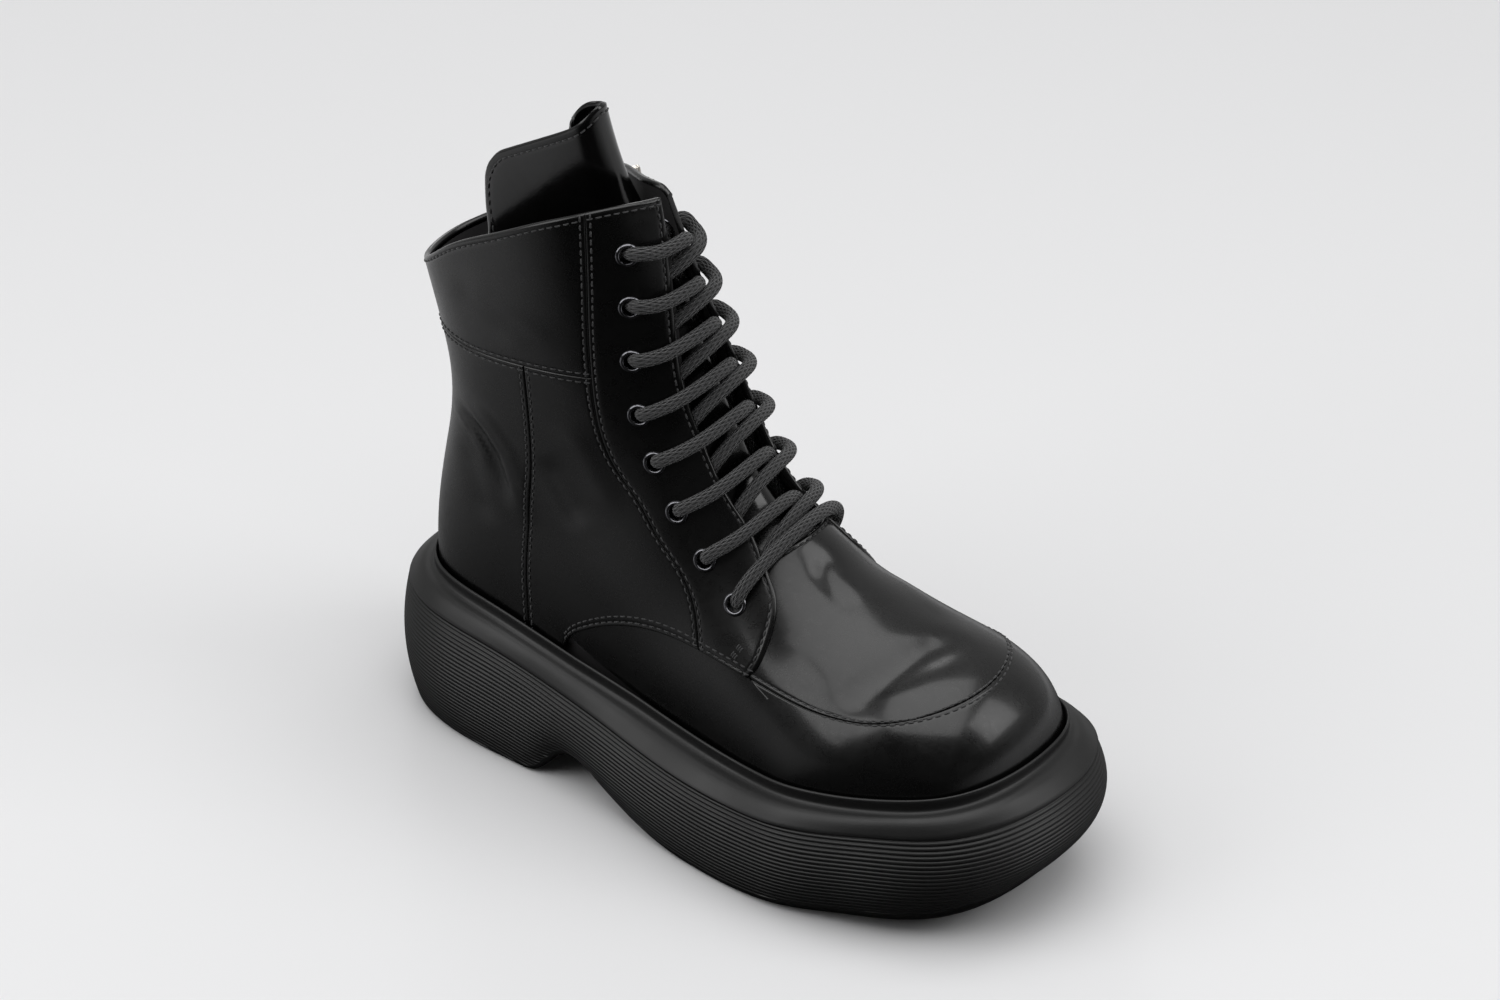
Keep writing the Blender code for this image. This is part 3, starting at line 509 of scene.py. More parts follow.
def polishedLeather(name, shade, gloss):
    # chrome-tanned calf, corrected and glazed with a hard shiny top coat: near black, with broad
    # soft highlights that a faint haze of wax and pull lines breaks up
    made, tree, shader, position = newMaterial(name, {
        "Roughness": 0.3, "IOR": 1.42, "Coat Weight": gloss["coat"], "Coat Roughness": gloss["coatRoughness"],
        "Coat IOR": 1.5, "Specular IOR Level": 0.5})
    haze = addNode(tree, "ShaderNodeTexNoise", {"Scale": perMetre(22), "Detail": 5.0, "Roughness": 0.6,
                                                "Distortion": 0.6}, {"Vector": position})
    streak = addNode(tree, "ShaderNodeTexNoise", {"Scale": perMetre(5), "Detail": 4.0, "Roughness": 0.65,
                                                  "Distortion": 1.2}, {"Vector": position})
    both = addNode(tree, "ShaderNodeMath", {"operation": "MULTIPLY"},
                   {0: haze.outputs["Fac"], 1: streak.outputs["Fac"]}).outputs[0]
    rough = addNode(tree, "ShaderNodeMapRange", {"From Min": 0.1, "From Max": 0.45, "To Min": gloss["low"],
                                                 "To Max": gloss["high"]}, {"Value": both})
    tree.links.new(rough.outputs["Result"], shader.inputs["Roughness"])
    color = addNode(tree, "ShaderNodeMix", {"data_type": "RGBA", 6: linear(shade[0]), 7: linear(shade[1])},
                    {0: haze.outputs["Fac"]})
    tree.links.new(color.outputs[2], shader.inputs["Base Color"])
    # pull lines a few millimetres apart, then the pores of the glazed grain, drawn coarser than life
    pulls = addNode(tree, "ShaderNodeTexNoise", {"Scale": perMetre(7), "Detail": 3.0, "Roughness": 0.55,
                                                 "Distortion": 0.4}, {"Vector": position})
    pores = addNode(tree, "ShaderNodeTexVoronoi", {"Scale": perMetre(0.9), "Randomness": 1.0},
                    {"Vector": position})
    first = addNode(tree, "ShaderNodeBump", {"Strength": gloss["pull"], "Distance": 0.0004},
                    {"Height": pulls.outputs["Fac"]})
    second = addNode(tree, "ShaderNodeBump", {"Strength": gloss["pore"], "Distance": 0.00008},
                     {"Height": pores.outputs["Distance"], "Normal": first.outputs["Normal"]})
    tree.links.new(second.outputs["Normal"], shader.inputs["Normal"])
    return made


def mouldedRubber(name, shade, roughness, bump):
    # injection moulded thermoplastic rubber: satin black with a fine spark-eroded skin
    made, tree, shader, position = newMaterial(name, {"Base Color": linear(shade), "Roughness": roughness,
                                                      "IOR": 1.5, "Specular IOR Level": 0.5})
    skinGrain = addNode(tree, "ShaderNodeTexNoise", {"Scale": perMetre(0.6), "Detail": 2.0},
                        {"Vector": position})
    flow = addNode(tree, "ShaderNodeTexNoise", {"Scale": perMetre(30), "Detail": 3.0}, {"Vector": position})
    uneven = addNode(tree, "ShaderNodeMapRange", {"From Min": 0.3, "From Max": 0.7,
                                                  "To Min": roughness - 0.05, "To Max": roughness + 0.07},
                     {"Value": flow.outputs["Fac"]})
    tree.links.new(uneven.outputs["Result"], shader.inputs["Roughness"])
    raised = addNode(tree, "ShaderNodeBump", {"Strength": bump, "Distance": 0.0001},
                     {"Height": skinGrain.outputs["Fac"]})
    tree.links.new(raised.outputs["Normal"], shader.inputs["Normal"])
    return made


def softLining(name, shade):
    # split pigskin lining: matte, with pricks of pores about a millimetre apart
    made, tree, shader, position = newMaterial(name, {"Base Color": linear(shade), "Roughness": 0.62,
                                                      "IOR": 1.48, "Sheen Weight": 0.15,
                                                      "Sheen Roughness": 0.4})
    pores = addNode(tree, "ShaderNodeTexVoronoi", {"Scale": perMetre(1.1)}, {"Vector": position})
    folds = addNode(tree, "ShaderNodeTexNoise", {"Scale": perMetre(14), "Detail": 3.0}, {"Vector": position})
    first = addNode(tree, "ShaderNodeBump", {"Strength": 0.5, "Distance": 0.0006},
                    {"Height": folds.outputs["Fac"]})
    second = addNode(tree, "ShaderNodeBump", {"Strength": 0.35, "Distance": 0.0001},
                     {"Height": pores.outputs["Distance"], "Normal": first.outputs["Normal"]})
    tree.links.new(second.outputs["Normal"], shader.inputs["Normal"])
    return made


def braidedPolyester(name, shade, paintedCrestColor, strands, pitch):
    # round braid of texturised polyester: matte charcoal, each carrier a soft oblique lozenge; the
    # mesh carries turns round the cord in U and millimetres along it in V
    made, tree, shader, position = newMaterial(name, {"Roughness": 0.78, "IOR": 1.46, "Sheen Weight": 0.25,
                                                      "Sheen Roughness": 0.5})
    uv = addNode(tree, "ShaderNodeUVMap", {"uv_map": "cordMap"}).outputs["UV"]
    split = addNode(tree, "ShaderNodeSeparateXYZ", None, {"Vector": uv})
    waves = []
    for sign in (1, -1):
        turn = addNode(tree, "ShaderNodeMath", {"operation": "MULTIPLY", 1: strands * 2 * math.pi},
                       {0: split.outputs["X"]}).outputs[0]
        run = addNode(tree, "ShaderNodeMath", {"operation": "MULTIPLY", 1: sign * 2 * math.pi / pitch},
                      {0: split.outputs["Y"]}).outputs[0]
        total = addNode(tree, "ShaderNodeMath", {"operation": "ADD"}, {0: turn, 1: run}).outputs[0]
        waves.append(addNode(tree, "ShaderNodeMath", {"operation": "SINE"}, {0: total}).outputs[0])
    cross = addNode(tree, "ShaderNodeMath", {"operation": "MAXIMUM"}, {0: waves[0], 1: waves[1]}).outputs[0]
    fibre = addNode(tree, "ShaderNodeTexNoise", {"Scale": perMetre(0.35), "Detail": 3.0},
                    {"Vector": position})
    height = addNode(tree, "ShaderNodeMath", {"operation": "MULTIPLY_ADD", 1: 0.35},
                     {0: fibre.outputs["Fac"], 2: cross}).outputs[0]
    # the colour is painted: lighter on the carriers' crests and darker in the valleys between them, a painted
    # highlight and painted shade, with the fibre noise as a random tone
    paintedCrestShading = addNode(tree, "ShaderNodeMapRange", {"From Min": -0.2, "From Max": 1.2}, {"Value": height})
    color = addNode(tree, "ShaderNodeMix", {"data_type": "RGBA", 6: linear(shade), 7: linear(paintedCrestColor)},
                    {0: paintedCrestShading.outputs["Result"]})
    tree.links.new(color.outputs[2], shader.inputs["Base Color"])
    raised = addNode(tree, "ShaderNodeBump", {"Strength": 0.9, "Distance": 0.0005}, {"Height": height})
    tree.links.new(raised.outputs["Normal"], shader.inputs["Normal"])
    return made


def polishedMetal(name, shade, roughness):
    # plated die-cast zinc: mirror bright with a faint uneven polish
    made, tree, shader, position = newMaterial(name, {"Base Color": linear(shade), "Metallic": 1.0,
                                                      "Roughness": roughness})
    wear = addNode(tree, "ShaderNodeTexNoise", {"Scale": perMetre(3), "Detail": 4.0}, {"Vector": position})
    uneven = addNode(tree, "ShaderNodeMapRange", {"From Min": 0.3, "From Max": 0.7,
                                                  "To Min": roughness * 0.7, "To Max": roughness * 1.5},
                     {"Value": wear.outputs["Fac"]})
    tree.links.new(uneven.outputs["Result"], shader.inputs["Roughness"])
    raised = addNode(tree, "ShaderNodeBump", {"Strength": 0.12, "Distance": 0.00005},
                     {"Height": wear.outputs["Fac"]})
    tree.links.new(raised.outputs["Normal"], shader.inputs["Normal"])
    return made


def bondedThread(name, shade):
    # bonded polyester sewing thread, two plies twisted: low sheen, a shade lighter than the leather
    made, tree, shader, position = newMaterial(name, {"Base Color": linear(shade), "Roughness": 0.5,
                                                      "IOR": 1.5, "Sheen Weight": 0.2})
    twist = addNode(tree, "ShaderNodeTexNoise", {"Scale": perMetre(0.4), "Detail": 2.0}, {"Vector": position})
    raised = addNode(tree, "ShaderNodeBump", {"Strength": 0.4, "Distance": 0.0001},
                     {"Height": twist.outputs["Fac"]})
    tree.links.new(raised.outputs["Normal"], shader.inputs["Normal"])
    return made


glossShaft = {"coat": 0.5, "coatRoughness": 0.15, "low": 0.22, "high": 0.4, "pull": 0.16, "pore": 0.2}
calf = polishedLeather("polishedCalf", ("#040404", "#070707"), glossShaft)
tongueCalf = polishedLeather("polishedTongueCalf", ("#040404", "#070707"),
                             {**glossShaft, "low": 0.12, "high": 0.26})
rubber = mouldedRubber("mouldedRubber", "#131313", 0.4, 0.25)
lining = softLining("pigskinLining", "#242324")
sockLining = softLining("sockLining", "#201f20")
# the lighter colour is the painted highlight of the braid's crests, the darker one its painted valley shade
braid = braidedPolyester("braidedPolyester", "#030303", "#3c3c3d", 12, 4.4)
gunmetal = polishedMetal("gunmetalPlate", "#77777b", 0.16)
nickel = polishedMetal("nickelPlate", "#cfcac2", 0.16)
thread = bondedThread("bondedThread", "#2b2b2c")
coilPlastic = mouldedRubber("nylonCoil", "#161617", 0.38, 0.1)
zipTape = softLining("zipTape", "#161617")
print("materials ready")


# Eyelets seen from the side as (x, z), top to bottom; the medial row mirrors the lateral one
eyeletPlaces = ((115, 228), (117, 207.5), (118.5, 186), (122, 164.5), (129.5, 147), (140.5, 130.5),
                (154, 115.5), (169.5, 103.5))
onBoot = {side: placesOf([(x, 0, z) for x, z in eyeletPlaces], (1, 0, 1), side) for side in (-1, 1)}
eyeletAxes = [(lastSurface(*place), skinNormal(*place)) for side in (-1, 1) for place in onBoot[side]]

def underFeather(around):
    return featherLine(around, 3.0)


def bandLine(around):
    return levelLine(around, lambda x: np.interp(x, (20, 105), (172, 177)))


def uprightLine(around):
    # straight up the last, from below the feather line to the band's lower seam
    along = np.linspace(underFeather(around)[0], bandLine(around)[0], 60)
    return np.column_stack([np.full(60, around), along])


throatTable = {"x": (0.272, 0.29, 0.33, 0.40, 0.48, 0.60, 0.72, 0.82, 0.90, 1.0),
               "lateral": (0.18, 0.45, 0.56, 0.58, 0.58, 0.56, 0.42, 0.31, 0.24, 0.20),
               "medial": (0.18, 0.45, 0.56, 0.58, 0.58, 0.56, 0.50, 0.46, 0.42, 0.38)}
# Seams seen from the side as (x, z), upwards
seams = {
    "facingLateral": ((159, 83), (154, 97), (145, 109.5), (135, 119), (126, 130), (115.4, 141), (108, 156),
                      (105, 176), (104, 214), (103, 242), (102.5, 252)),
    "facingMedial": ((155.7, 87), (150.5, 106), (141, 113), (131.5, 122), (120, 134), (113, 148),
                     (110.5, 160), (109.4, 178), (108.4, 213), (107, 244), (106.7, 254)),
    "sideLateral": ((77, 50), (77, 61), (76.6, 80), (78.5, 112), (79.8, 143), (78, 182)),
    "zip": ((118, 62), (112.5, 78), (107, 89), (101, 105), (94.9, 130), (88.9, 156), (82.3, 200),
            (80.6, 217), (79.3, 236), (78.6, 246)),
}
quarterEdge = {
    "lateral": ((92.5, 50), (94.6, 58.5), (98.5, 65), (104, 69.5), (116, 76.5), (130.5, 81.6), (150, 83.6),
                (169, 82.6), (182, 81.5)),
    "medial": ((101, 50), (104, 62), (109, 72), (116, 77), (124, 78.5), (140, 83), (154, 86),
               (170, 86.4), (187, 85.6)),
}
facingFoot = {"lateral": ((182, 81.5), (184.6, 85), (186, 90), (186, 99), (183, 107), (177, 113.5)),
              "medial": ((187, 85.6), (189, 89), (189.5, 94), (188, 102), (184, 109), (177, 115))}
# The apron seam round the toe in space, from the lateral tip to the medial one
apron = ((182, -41, 81.5), (200, -42.5, 80), (220, -42, 80), (236, -38.5, 82), (247, -32, 84.6),
         (255.5, -22, 87), (260.5, -9, 88.8), (261, 3, 89.6), (258, 14, 90), (251.5, 24, 88),
         (242, 31.5, 84), (230, 36, 81.3), (212, 38, 80.6), (198, 37.4, 82.4), (187, 35, 85.6))


def facingEdge(side, word):
    # front edge of a facing from its tip up to the collar
    foot = smoothLine(sidePlaces(facingFoot[word], side), 40)
    along = np.linspace(0.345, 1.0, 80)
    around = -side * profile(throatTable, word, along)
    bend = smoothLine(np.concatenate([foot[-14::6], np.stack([around[:9:4], along[:9:4]], 1)]), 40)
    return joinLines(foot[:-14], bend, np.stack([around, along], 1)[9:])


sideWords = {-1: "lateral", 1: "medial"}
seamLines = {name: smoothLine(sidePlaces(line, -1 if "Lateral" in name else 1), 160)
             for name, line in seams.items()}
lowerLines = {word: smoothLine(sidePlaces(quarterEdge[word], side), 120) for side, word in sideWords.items()}
edgeLines = {word: between(facingEdge(side, word), high=collarLine) for side, word in sideWords.items()}
back = {-1: 4.0, 1: -4.0}
# The zip's slot and tape as half widths; its lines meet the quarter near the given row of points
zipSize = {"slot": 2.9, "pitch": 1.35, "tapeHalf": 5.5, "tapeDeep": 0.9, "lowRow": 22}


def nearestOn(line, place):
    points = lastSurface(line[:, 0], line[:, 1])
    return int(np.argmin(np.linalg.norm(points - lastSurface(*place), axis=1)))


def movedAside(line, distance):
    # a line moved sideways on the last, to the side that is nearer the back
    points = lastSurface(line[:, 0], line[:, 1])
    way = np.gradient(points, axis=0)
    out = skinNormal(line[:, 0], line[:, 1])
    aside = np.cross(way, out)
    aside /= np.linalg.norm(aside, axis=1, keepdims=True)
    return placesOf(points + aside * distance)


panels = {}
step = leather["quarterStep"]


def addPanel(name, *args, **options):
    panels[name] = Panel(*args, **options)


def addShaftPanels():
    for side, word in sideWords.items():
        seam, lower, edge = seamLines["facing" + word.capitalize()], lowerLines[word], edgeLines[word]
        foot = nearestOn(lower, seam[0])
        seam = joinLines(lower[foot:foot + 1], seam[1:])
        top = between(seam, high=collarLine)
        addPanel("facing" + word.capitalize(), lower[foot:], levelPart(collarLine, top[-1, 0], edge[-1, 0]),
                 top, edge, ("lap", "fold", "seam", "fold"), step, cell=1.1)
        shaft, band = between(seam, high=bandLine), between(seam, low=bandLine, high=collarLine)
        if side < 0:
            sideSeam = between(seamLines["sideLateral"], low=underFeather, high=bandLine)
            corner = between(lower[:foot + 1], low=underFeather)
            bottom = joinLines(levelPart(underFeather, sideSeam[0, 0], corner[0, 0]), corner)
            addPanel("quarterLateral", bottom, levelPart(bandLine, sideSeam[-1, 0], shaft[-1, 0]), sideSeam,
                     shaft, ("lap", "seam", "seam", "seam"), step)
            addPanel("heelLateral", levelPart(underFeather, back[side], sideSeam[0, 0]),
                     levelPart(bandLine, back[side], sideSeam[-1, 0]), uprightLine(back[side]), sideSeam,
                     ("under", "seam", "seam", "seam"), step)
            lateralBand = band
        else:
            zipFront = movedAside(seamLines["zip"], -zipSize["slot"])
            zipRear = movedAside(seamLines["zip"], zipSize["slot"])
            frontLow = nearestOn(zipFront, lower[nearestOn(lower, zipFront[zipSize["lowRow"]])])
            startLow = nearestOn(lower, zipFront[frontLow])
            zipFront = joinLines(lower[startLow:startLow + 1], zipFront[frontLow + 2:])
            frontShaft = between(zipFront, high=bandLine)
            frontBand = between(zipFront, low=bandLine, high=collarLine)
            addPanel("quarterMedial", lower[startLow:foot + 1],
                     levelPart(bandLine, frontShaft[-1, 0], shaft[-1, 0]), frontShaft, shaft,
                     ("lap", "seam", "fold", "seam"), step)
            addPanel("bandMedial", levelPart(bandLine, frontBand[0, 0], band[0, 0]),
                     levelPart(collarLine, frontBand[-1, 0], band[-1, 0]), frontBand, band,
                     ("seam", "fold", "fold", "seam"), step)
            rearShaft = between(zipRear, high=bandLine)
            rearBand = between(zipRear, low=bandLine, high=collarLine)
            low = lower[:nearestOn(lower, zipRear[zipSize["lowRow"]])]
            lowPart = between(low, low=underFeather)
            rearLine = joinLines(lowPart, rearShaft[nearestOn(rearShaft, lowPart[-1]) + 2:])
            addPanel("heelMedial", levelPart(underFeather, back[side], rearLine[0, 0]),
                     levelPart(bandLine, back[side], rearShaft[-1, 0]), uprightLine(back[side]), rearLine,
                     ("under", "seam", "seam", "fold"), step)
            # the collar band runs from the zip round the back to the lateral facing
            start = rearBand + (8, 0)
            addPanel("collarBand", levelPart(bandLine, lateralBand[0, 0], start[0, 0], 160),
                     levelPart(collarLine, lateralBand[-1, 0], start[-1, 0], 160), lateralBand, start,
                     ("seam", "fold", "seam", "fold"), step)


addShaftPanels()

apronLine = smoothLine(placesOf(apron), 240)
corners = [nearestOn(apronLine, placesOf([point])[0]) for point in ((248, -31, 84.8), (248, 27.5, 86.5))]
hidden = {word: smoothLine(sidePlaces(line, side), 30) for side, word, line in (
    (-1, "lateral", ((182, 81.5), (177, 88), (170, 97), (163, 110))),
    (1, "medial", ((187, 85.6), (180, 91), (172, 99), (164, 112))))}
topLine = smoothLine([hidden["lateral"][-1], (0.55, 0.288), (0.2, 0.274), (0, 0.272), (-0.2, 0.274),
                      (-0.55, 0.288), hidden["medial"][-1]])
vampLeft = joinLines(apronLine[corners[0]::-1], hidden["lateral"])
vampRight = joinLines(apronLine[corners[1]:], hidden["medial"])
addPanel("vamp", apronLine[corners[0]:corners[1] + 1], topLine, vampLeft, vampRight,
         ("seam", "fold", "seam", "seam"), 0.0)
wing = {word: smoothLine(sidePlaces(line, side), 60) for side, word, line in (
    (-1, "lateral", ((182, 81.5), (172, 87), (150, 89), (128, 86), (108, 78), (93, 66))),
    (1, "medial", ((187, 85.6), (174, 91), (154, 91.5), (134, 87), (116, 81), (104, 70))))}
wallTop = joinLines(wing["lateral"][::-1], apronLine, wing["medial"])
wallEnds = [np.array([(end[0], underFeather(end[0])[0]), end]) for end in (wallTop[0], wallTop[-1])]
addPanel("toeWall", levelPart(underFeather, wallTop[0, 0], wallTop[-1, 0], 200), wallTop, *wallEnds,
         ("under", "seam", "under", "under"), 0.0)
strip = {"half": 0.27, "lift": 1.2}
stripAround = np.array((4 - strip["half"], 4 + strip["half"]))
addPanel("backStrip", levelPart(underFeather, *stripAround), levelPart(bandLine, *stripAround),
         *(uprightLine(around) for around in stripAround), ("under", "lap", "lap", "lap"),
         step + strip["lift"], cell=1.2)
for name, panel in panels.items():
    made = panel.build(name, calf, eyeletAxes if "facing" in name else None)
print("panels cut", sorted(panels))


# Sole: lip bead, dark groove, smooth shoulder and fine ribs down to a rolled lower edge
soleTable = {"x": (10, 25, 50, 80, 110, 140, 165, 190, 205, 220, 235, 250, 262, 274, 284),
             "lateral": (15, 13, 12, 11, 11.5, 13, 13.5, 12.5, 11.5, 10.5, 9.5, 9.5, 10.5, 12, 13.5),
             "medial": (15, 14, 12, 10, 8.5, 8.5, 9, 9, 9.5, 10, 11, 12, 12.5, 13, 14),
             "swell": (2.5, 3, 3, 2.5, 2, 2, 2, 2, 2, 2.5, 2.5, 3, 3.5, 4, 4.5),
             "tuck": (2, 1, 0.5, 0.5, 0.5, 0.5, 0.5, 0.5, 1, 1.5, 2, 2, 2, 2, 2),
             "rise": (3, 2.5, 2, 2, 2.5, 2.5, 2.5, 3, 5, 8, 10.5, 12.5, 14, 15, 16),
             "under": (3, 3, 2.5, 2.5, 2.5, 2.5, 2.5, 3, 6, 12, 18, 23, 25, 23, 20)}
undersideTable = {"x": (0, 12, 86, 90, 95, 102, 112, 126, 142, 158, 210, 242, 250, 258, 266, 274,
                        282, 290, 297),
                  "z": (0, 0, 0, 5, 13, 18, 15, 8, 2.5, 0, 0, 0, 0.4, 1.3, 2.8, 4.9, 7.6, 11, 14.6)}
sole = {"columns": 400, "ribPitch": 1.8, "ribRows": 6, "ribDepth": 0.8, "firstRib": 11.7, "treadDepth": 2.0}
# Top of the sole, out from the feather line plus a share of the flange, and drop below the lip
soleTop = ((0.95, 0, 4.0), (1.0, 0, 1.5), (1.05, 0, 0.1), (1.2, 0, -0.5), (1.55, 0, -0.85), (1.95, 0, -0.75),
           (2.25, 0, -0.35), (2.35, 0, 0.2), (2.25, 0, 0.9), (2.1, 0, 2.0), (2.1, 0, 3.2), (2.25, 0.02, 4.0),
           (2.6, 0.05, 4.5), (2.8, 0.12, 4.75), (2.95, 0.2, 4.95), (3.0, 0.3, 5.3), (2.8, 0.42, 6.2),
           (2.35, 0.56, 7.4), (1.7, 0.7, 8.7), (1.05, 0.84, 10.0), (0.45, 0.95, 11.0), (0, 1.0, 11.6))
treadGrooves = {"heel": (26, 62, 12, -24, 24), "forefoot": (168, 228, 12, -32, 28)}


def evenColumns(count):
    fine = np.linspace(0, 4, 241)
    edges = (lastSurface(fine, featherLine(fine)), lastSurface(fine, collarLine(fine)))
    walk = sum(np.linalg.norm(np.diff(edge, axis=0), axis=1) for edge in edges)
    length = np.concatenate([[0], np.cumsum(walk)])
    half = np.interp(np.linspace(0, length[-1], count // 2 + 1), length, fine)
    return np.concatenate([half, 8 - half[-2:0:-1]])


def featherRing(count):
    around = evenColumns(count)
    line = lastSurface(around, featherLine(around))
    tangent = np.roll(line, -1, 0) - np.roll(line, 1, 0)
    outward = np.stack([-tangent[:, 1], tangent[:, 0]], 1)
    outward /= np.linalg.norm(outward, axis=1, keepdims=True)
    outward *= np.sign(((line[:, :2] - line[:, :2].mean(0)) * outward).sum(1, keepdims=True))
    return line, outward


def underside(x):
    # the arch with its corners a little rounded
    moves = (-6, -4, -2, 0, 2, 4, 6)
    return sum(np.interp(x + move, undersideTable["x"], undersideTable["z"]) for move in moves) / len(moves)


def buildSole():
    line, outward = featherRing(sole["columns"])
    x = line[:, 0]
    share = np.clip(0.5 + line[:, 1] / 24, 0, 1)
    width = profile(soleTable, "lateral", x) * (1 - share) + profile(soleTable, "medial", x) * share
    swell, tuck, rise, under = (profile(soleTable, word, x) for word in ("swell", "tuck", "rise", "under"))
    clear = leather["quarterStep"] * np.clip((132 - x) / 30, 0, 1)

    def ring(out, height):
        plan = line[:, :2] + outward * np.reshape(out, (-1, 1))
        return np.column_stack([plan, height(plan[:, 0])])

    rings = [ring(out + clear * (1 - part) + part * width,
                  lambda at, drop=drop: profile(featherTable, "z", at) - drop) for out, part, drop in soleTop]
    # the ribs run level with the lip and end where the underside cuts them
    lip, end = profile(featherTable, "z", x) - sole["firstRib"], underside(x) + rise
    deep = lip - end
    rows = int(math.ceil(deep.max() / sole["ribPitch"])) * sole["ribRows"]
    for number in range(rows + 1):
        drop = number * sole["ribPitch"] / sole["ribRows"]
        part = np.minimum(drop / deep, 1)
        past = np.maximum(drop - deep, 0)
        # a narrow valley between rounded ribs, the first three the deepest
        phase = (number % sole["ribRows"]) / sole["ribRows"]
        valley = max(0.0, 1 - min(phase, 1 - phase) / 0.3)**1.2
        depth = sole["ribDepth"] * (1.25 if number < 3.5 * sole["ribRows"] else 1 - 0.35 * part) * (past == 0)
        out = width + 4 * swell * part * (1 - part) - tuck * part**2.2 - depth * valley
        plan = line[:, :2] + outward * out[:, None]
        rings.append(np.column_stack([plan, lip - np.minimum(drop, deep) - 0.002 * past]))
    foot = width - tuck
    for turn in np.linspace(0.15, 1, 9):
        angle = turn * math.pi / 2
        rings.append(ring(foot - under * (1 - math.cos(angle)) * 0.6 - 0.4 * under * turn,
                          lambda at, angle=angle: underside(at) + rise * (1 - math.sin(angle))))
    wall = np.array(rings)
    # the bottom runs straight across from each column to the one opposite, with the tread cut into it
    half = sole["columns"] // 2
    left = wall[-1][1:half]
    right = wall[-1][:half:-1]
    across = np.concatenate([[0, 0.004], np.linspace(0.02, 0.98, 70), [0.996, 1]])[None, :, None]
    bottom = left[:, None] * (1 - across) + right[:, None] * across
    bottom[..., 2] = underside(bottom[..., 0])
    for first, final, pitch, low, high in treadGrooves.values():
        for place in np.arange(first, final + 1, pitch):
            inside = (np.abs(bottom[..., 0] - place) < 2) & (bottom[..., 1] > low) & (bottom[..., 1] < high)
            bottom[..., 2] = np.where(inside, bottom[..., 2] + sole["treadDepth"], bottom[..., 2])
    made = joinGrids("platformSole", [(wall, True, False), (bottom, False, False)], rubber)
    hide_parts("sole")


def buildInsole():
    half = 120
    line, outward = featherRing(2 * half)
    plan = line[:, :2] - outward * 3.0
    left, right = plan[1:half], plan[:half:-1]
    across = np.linspace(0, 1, 40)[None, :, None]
    sheet = left[:, None] * (1 - across) + right[:, None] * across
    dish = 1.6 * np.sin(across[..., 0] * math.pi)**0.7
    height = profile(featherTable, "z", sheet[..., 0]) - 0.6 - dish
    top = np.concatenate([sheet, height[..., None]], 2)
    made = joinGrids("insoleCover", [(top, False, True)], sockLining)
    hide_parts("insole")


buildSole()
buildInsole()
print("sole moulded")


def buildLining():
    # the shaft's part from throat edge to throat edge, and the foot's part all round
    inner = -leather["wall"] - 0.15
    along = np.linspace(0.29, 1, 150)
    half = {word: profile(throatTable, word, along) for word in ("lateral", "medial")}
    share = np.linspace(0, 1, 150)
    around = (half["lateral"][:, None] + 0.02) * (1 - share) + (8 - half["medial"][:, None] - 0.02) * share
    top = collarLine(around[-1])
    level = 0.29 + (top - 0.006 - 0.29) * np.linspace(0, 1, 150)[:, None]
    shaft = leatherAt(around, level, inner + 0 * around)
    ring = np.linspace(0, 8, 181)[:-1]
    low = featherLine(ring, 2.0)
    level = low + (0.275 - low) * np.linspace(0, 1, 40)[:, None]
    foot = leatherAt(ring + 0 * level, level, inner + 0 * level)
    made = joinGrids("shaftLining", [(shaft, False, True), (foot, True, True)], lining, holes=eyeletAxes)
    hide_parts("upper")


# Tongue: one bent sheet, its free top rolled tight at the front with a wing on each side. The roll
# takes this share of each half of a row, and the lateral corner starts this far along the wing
tongue = {"thick": 2.0, "across": 151, "rows": 230, "edge": 0.95, "stitchInset": 3.2, "roll": 0.42,
          "cornerStart": 0.79, "wave": 0.7}
tongueInside = {"along": (0.245, 0.30, 0.36, 0.45, 0.55, 0.65, 0.74),
                "half": (0.85, 1.05, 1.2, 1.35, 1.45, 1.55, 1.7),
                "depth": (2.4, 6.2, 7.8, 7.6, 7.5, 7.7, 9.0)}
tongueTop = {"frontX": (108, 103, 100, 98.5), "frontZ": (231, 246, 262, 279), "bend": (11, 8.8, 8, 7.6),
             "middleY": (-4, -7, -10.5, -14), "lateralX": (51, 49.5, 48, 47), "medialX": (58, 66, 73, 79),
             "lateral": (-23, -22, -20.5, -19), "medial": (14, 6, -3, -9), "corner": (0, 0, 0.4, 1)}
tongueSlope = {"lateral": 0.587, "medial": 0.3, "corner": 10.0}


def tongueTopRow(across, frontX, frontZ, bend, middleY, lateralX, medialX, lateral, medial, corner):
    isLateral = across < 0
    side = np.where(isLateral, -1.0, 1.0)
    reach, backX = np.where(isLateral, lateral, medial), np.where(isLateral, lateralX, medialX)
    turn = np.minimum(np.abs(across) / tongue["roll"], 1) * math.pi / 2
    leg = np.maximum(np.abs(across) - tongue["roll"], 0) / (1 - tongue["roll"])
    x = frontX - bend * (1 - np.cos(turn)) - (frontX - bend - backX) * leg
    start = middleY + side * bend * np.sin(turn)
    behind = frontX - x
    # the lateral wing slopes down from the roll; the medial one stays level and then turns down
    slope = np.where(isLateral, tongueSlope["lateral"], tongueSlope["medial"] + 0.4 * (1 - corner))
    drop = slope * behind + np.where(isLateral, 4.4, 1.0) * (1 - np.exp(-behind / 4))
    inCorner = np.maximum(leg - np.where(isLateral, tongue["cornerStart"], 0.1), 0)
    inCorner /= np.where(isLateral, 1 - tongue["cornerStart"], 0.9)
    drop += corner * tongueSlope["corner"] * (1 - np.sqrt(np.maximum(1 - inCorner**2, 0)))
    y = start + (reach - start) * leg**np.where(isLateral, 1, 1 + 1.5 * corner)
    return np.stack([x, y, frontZ - drop], -1)


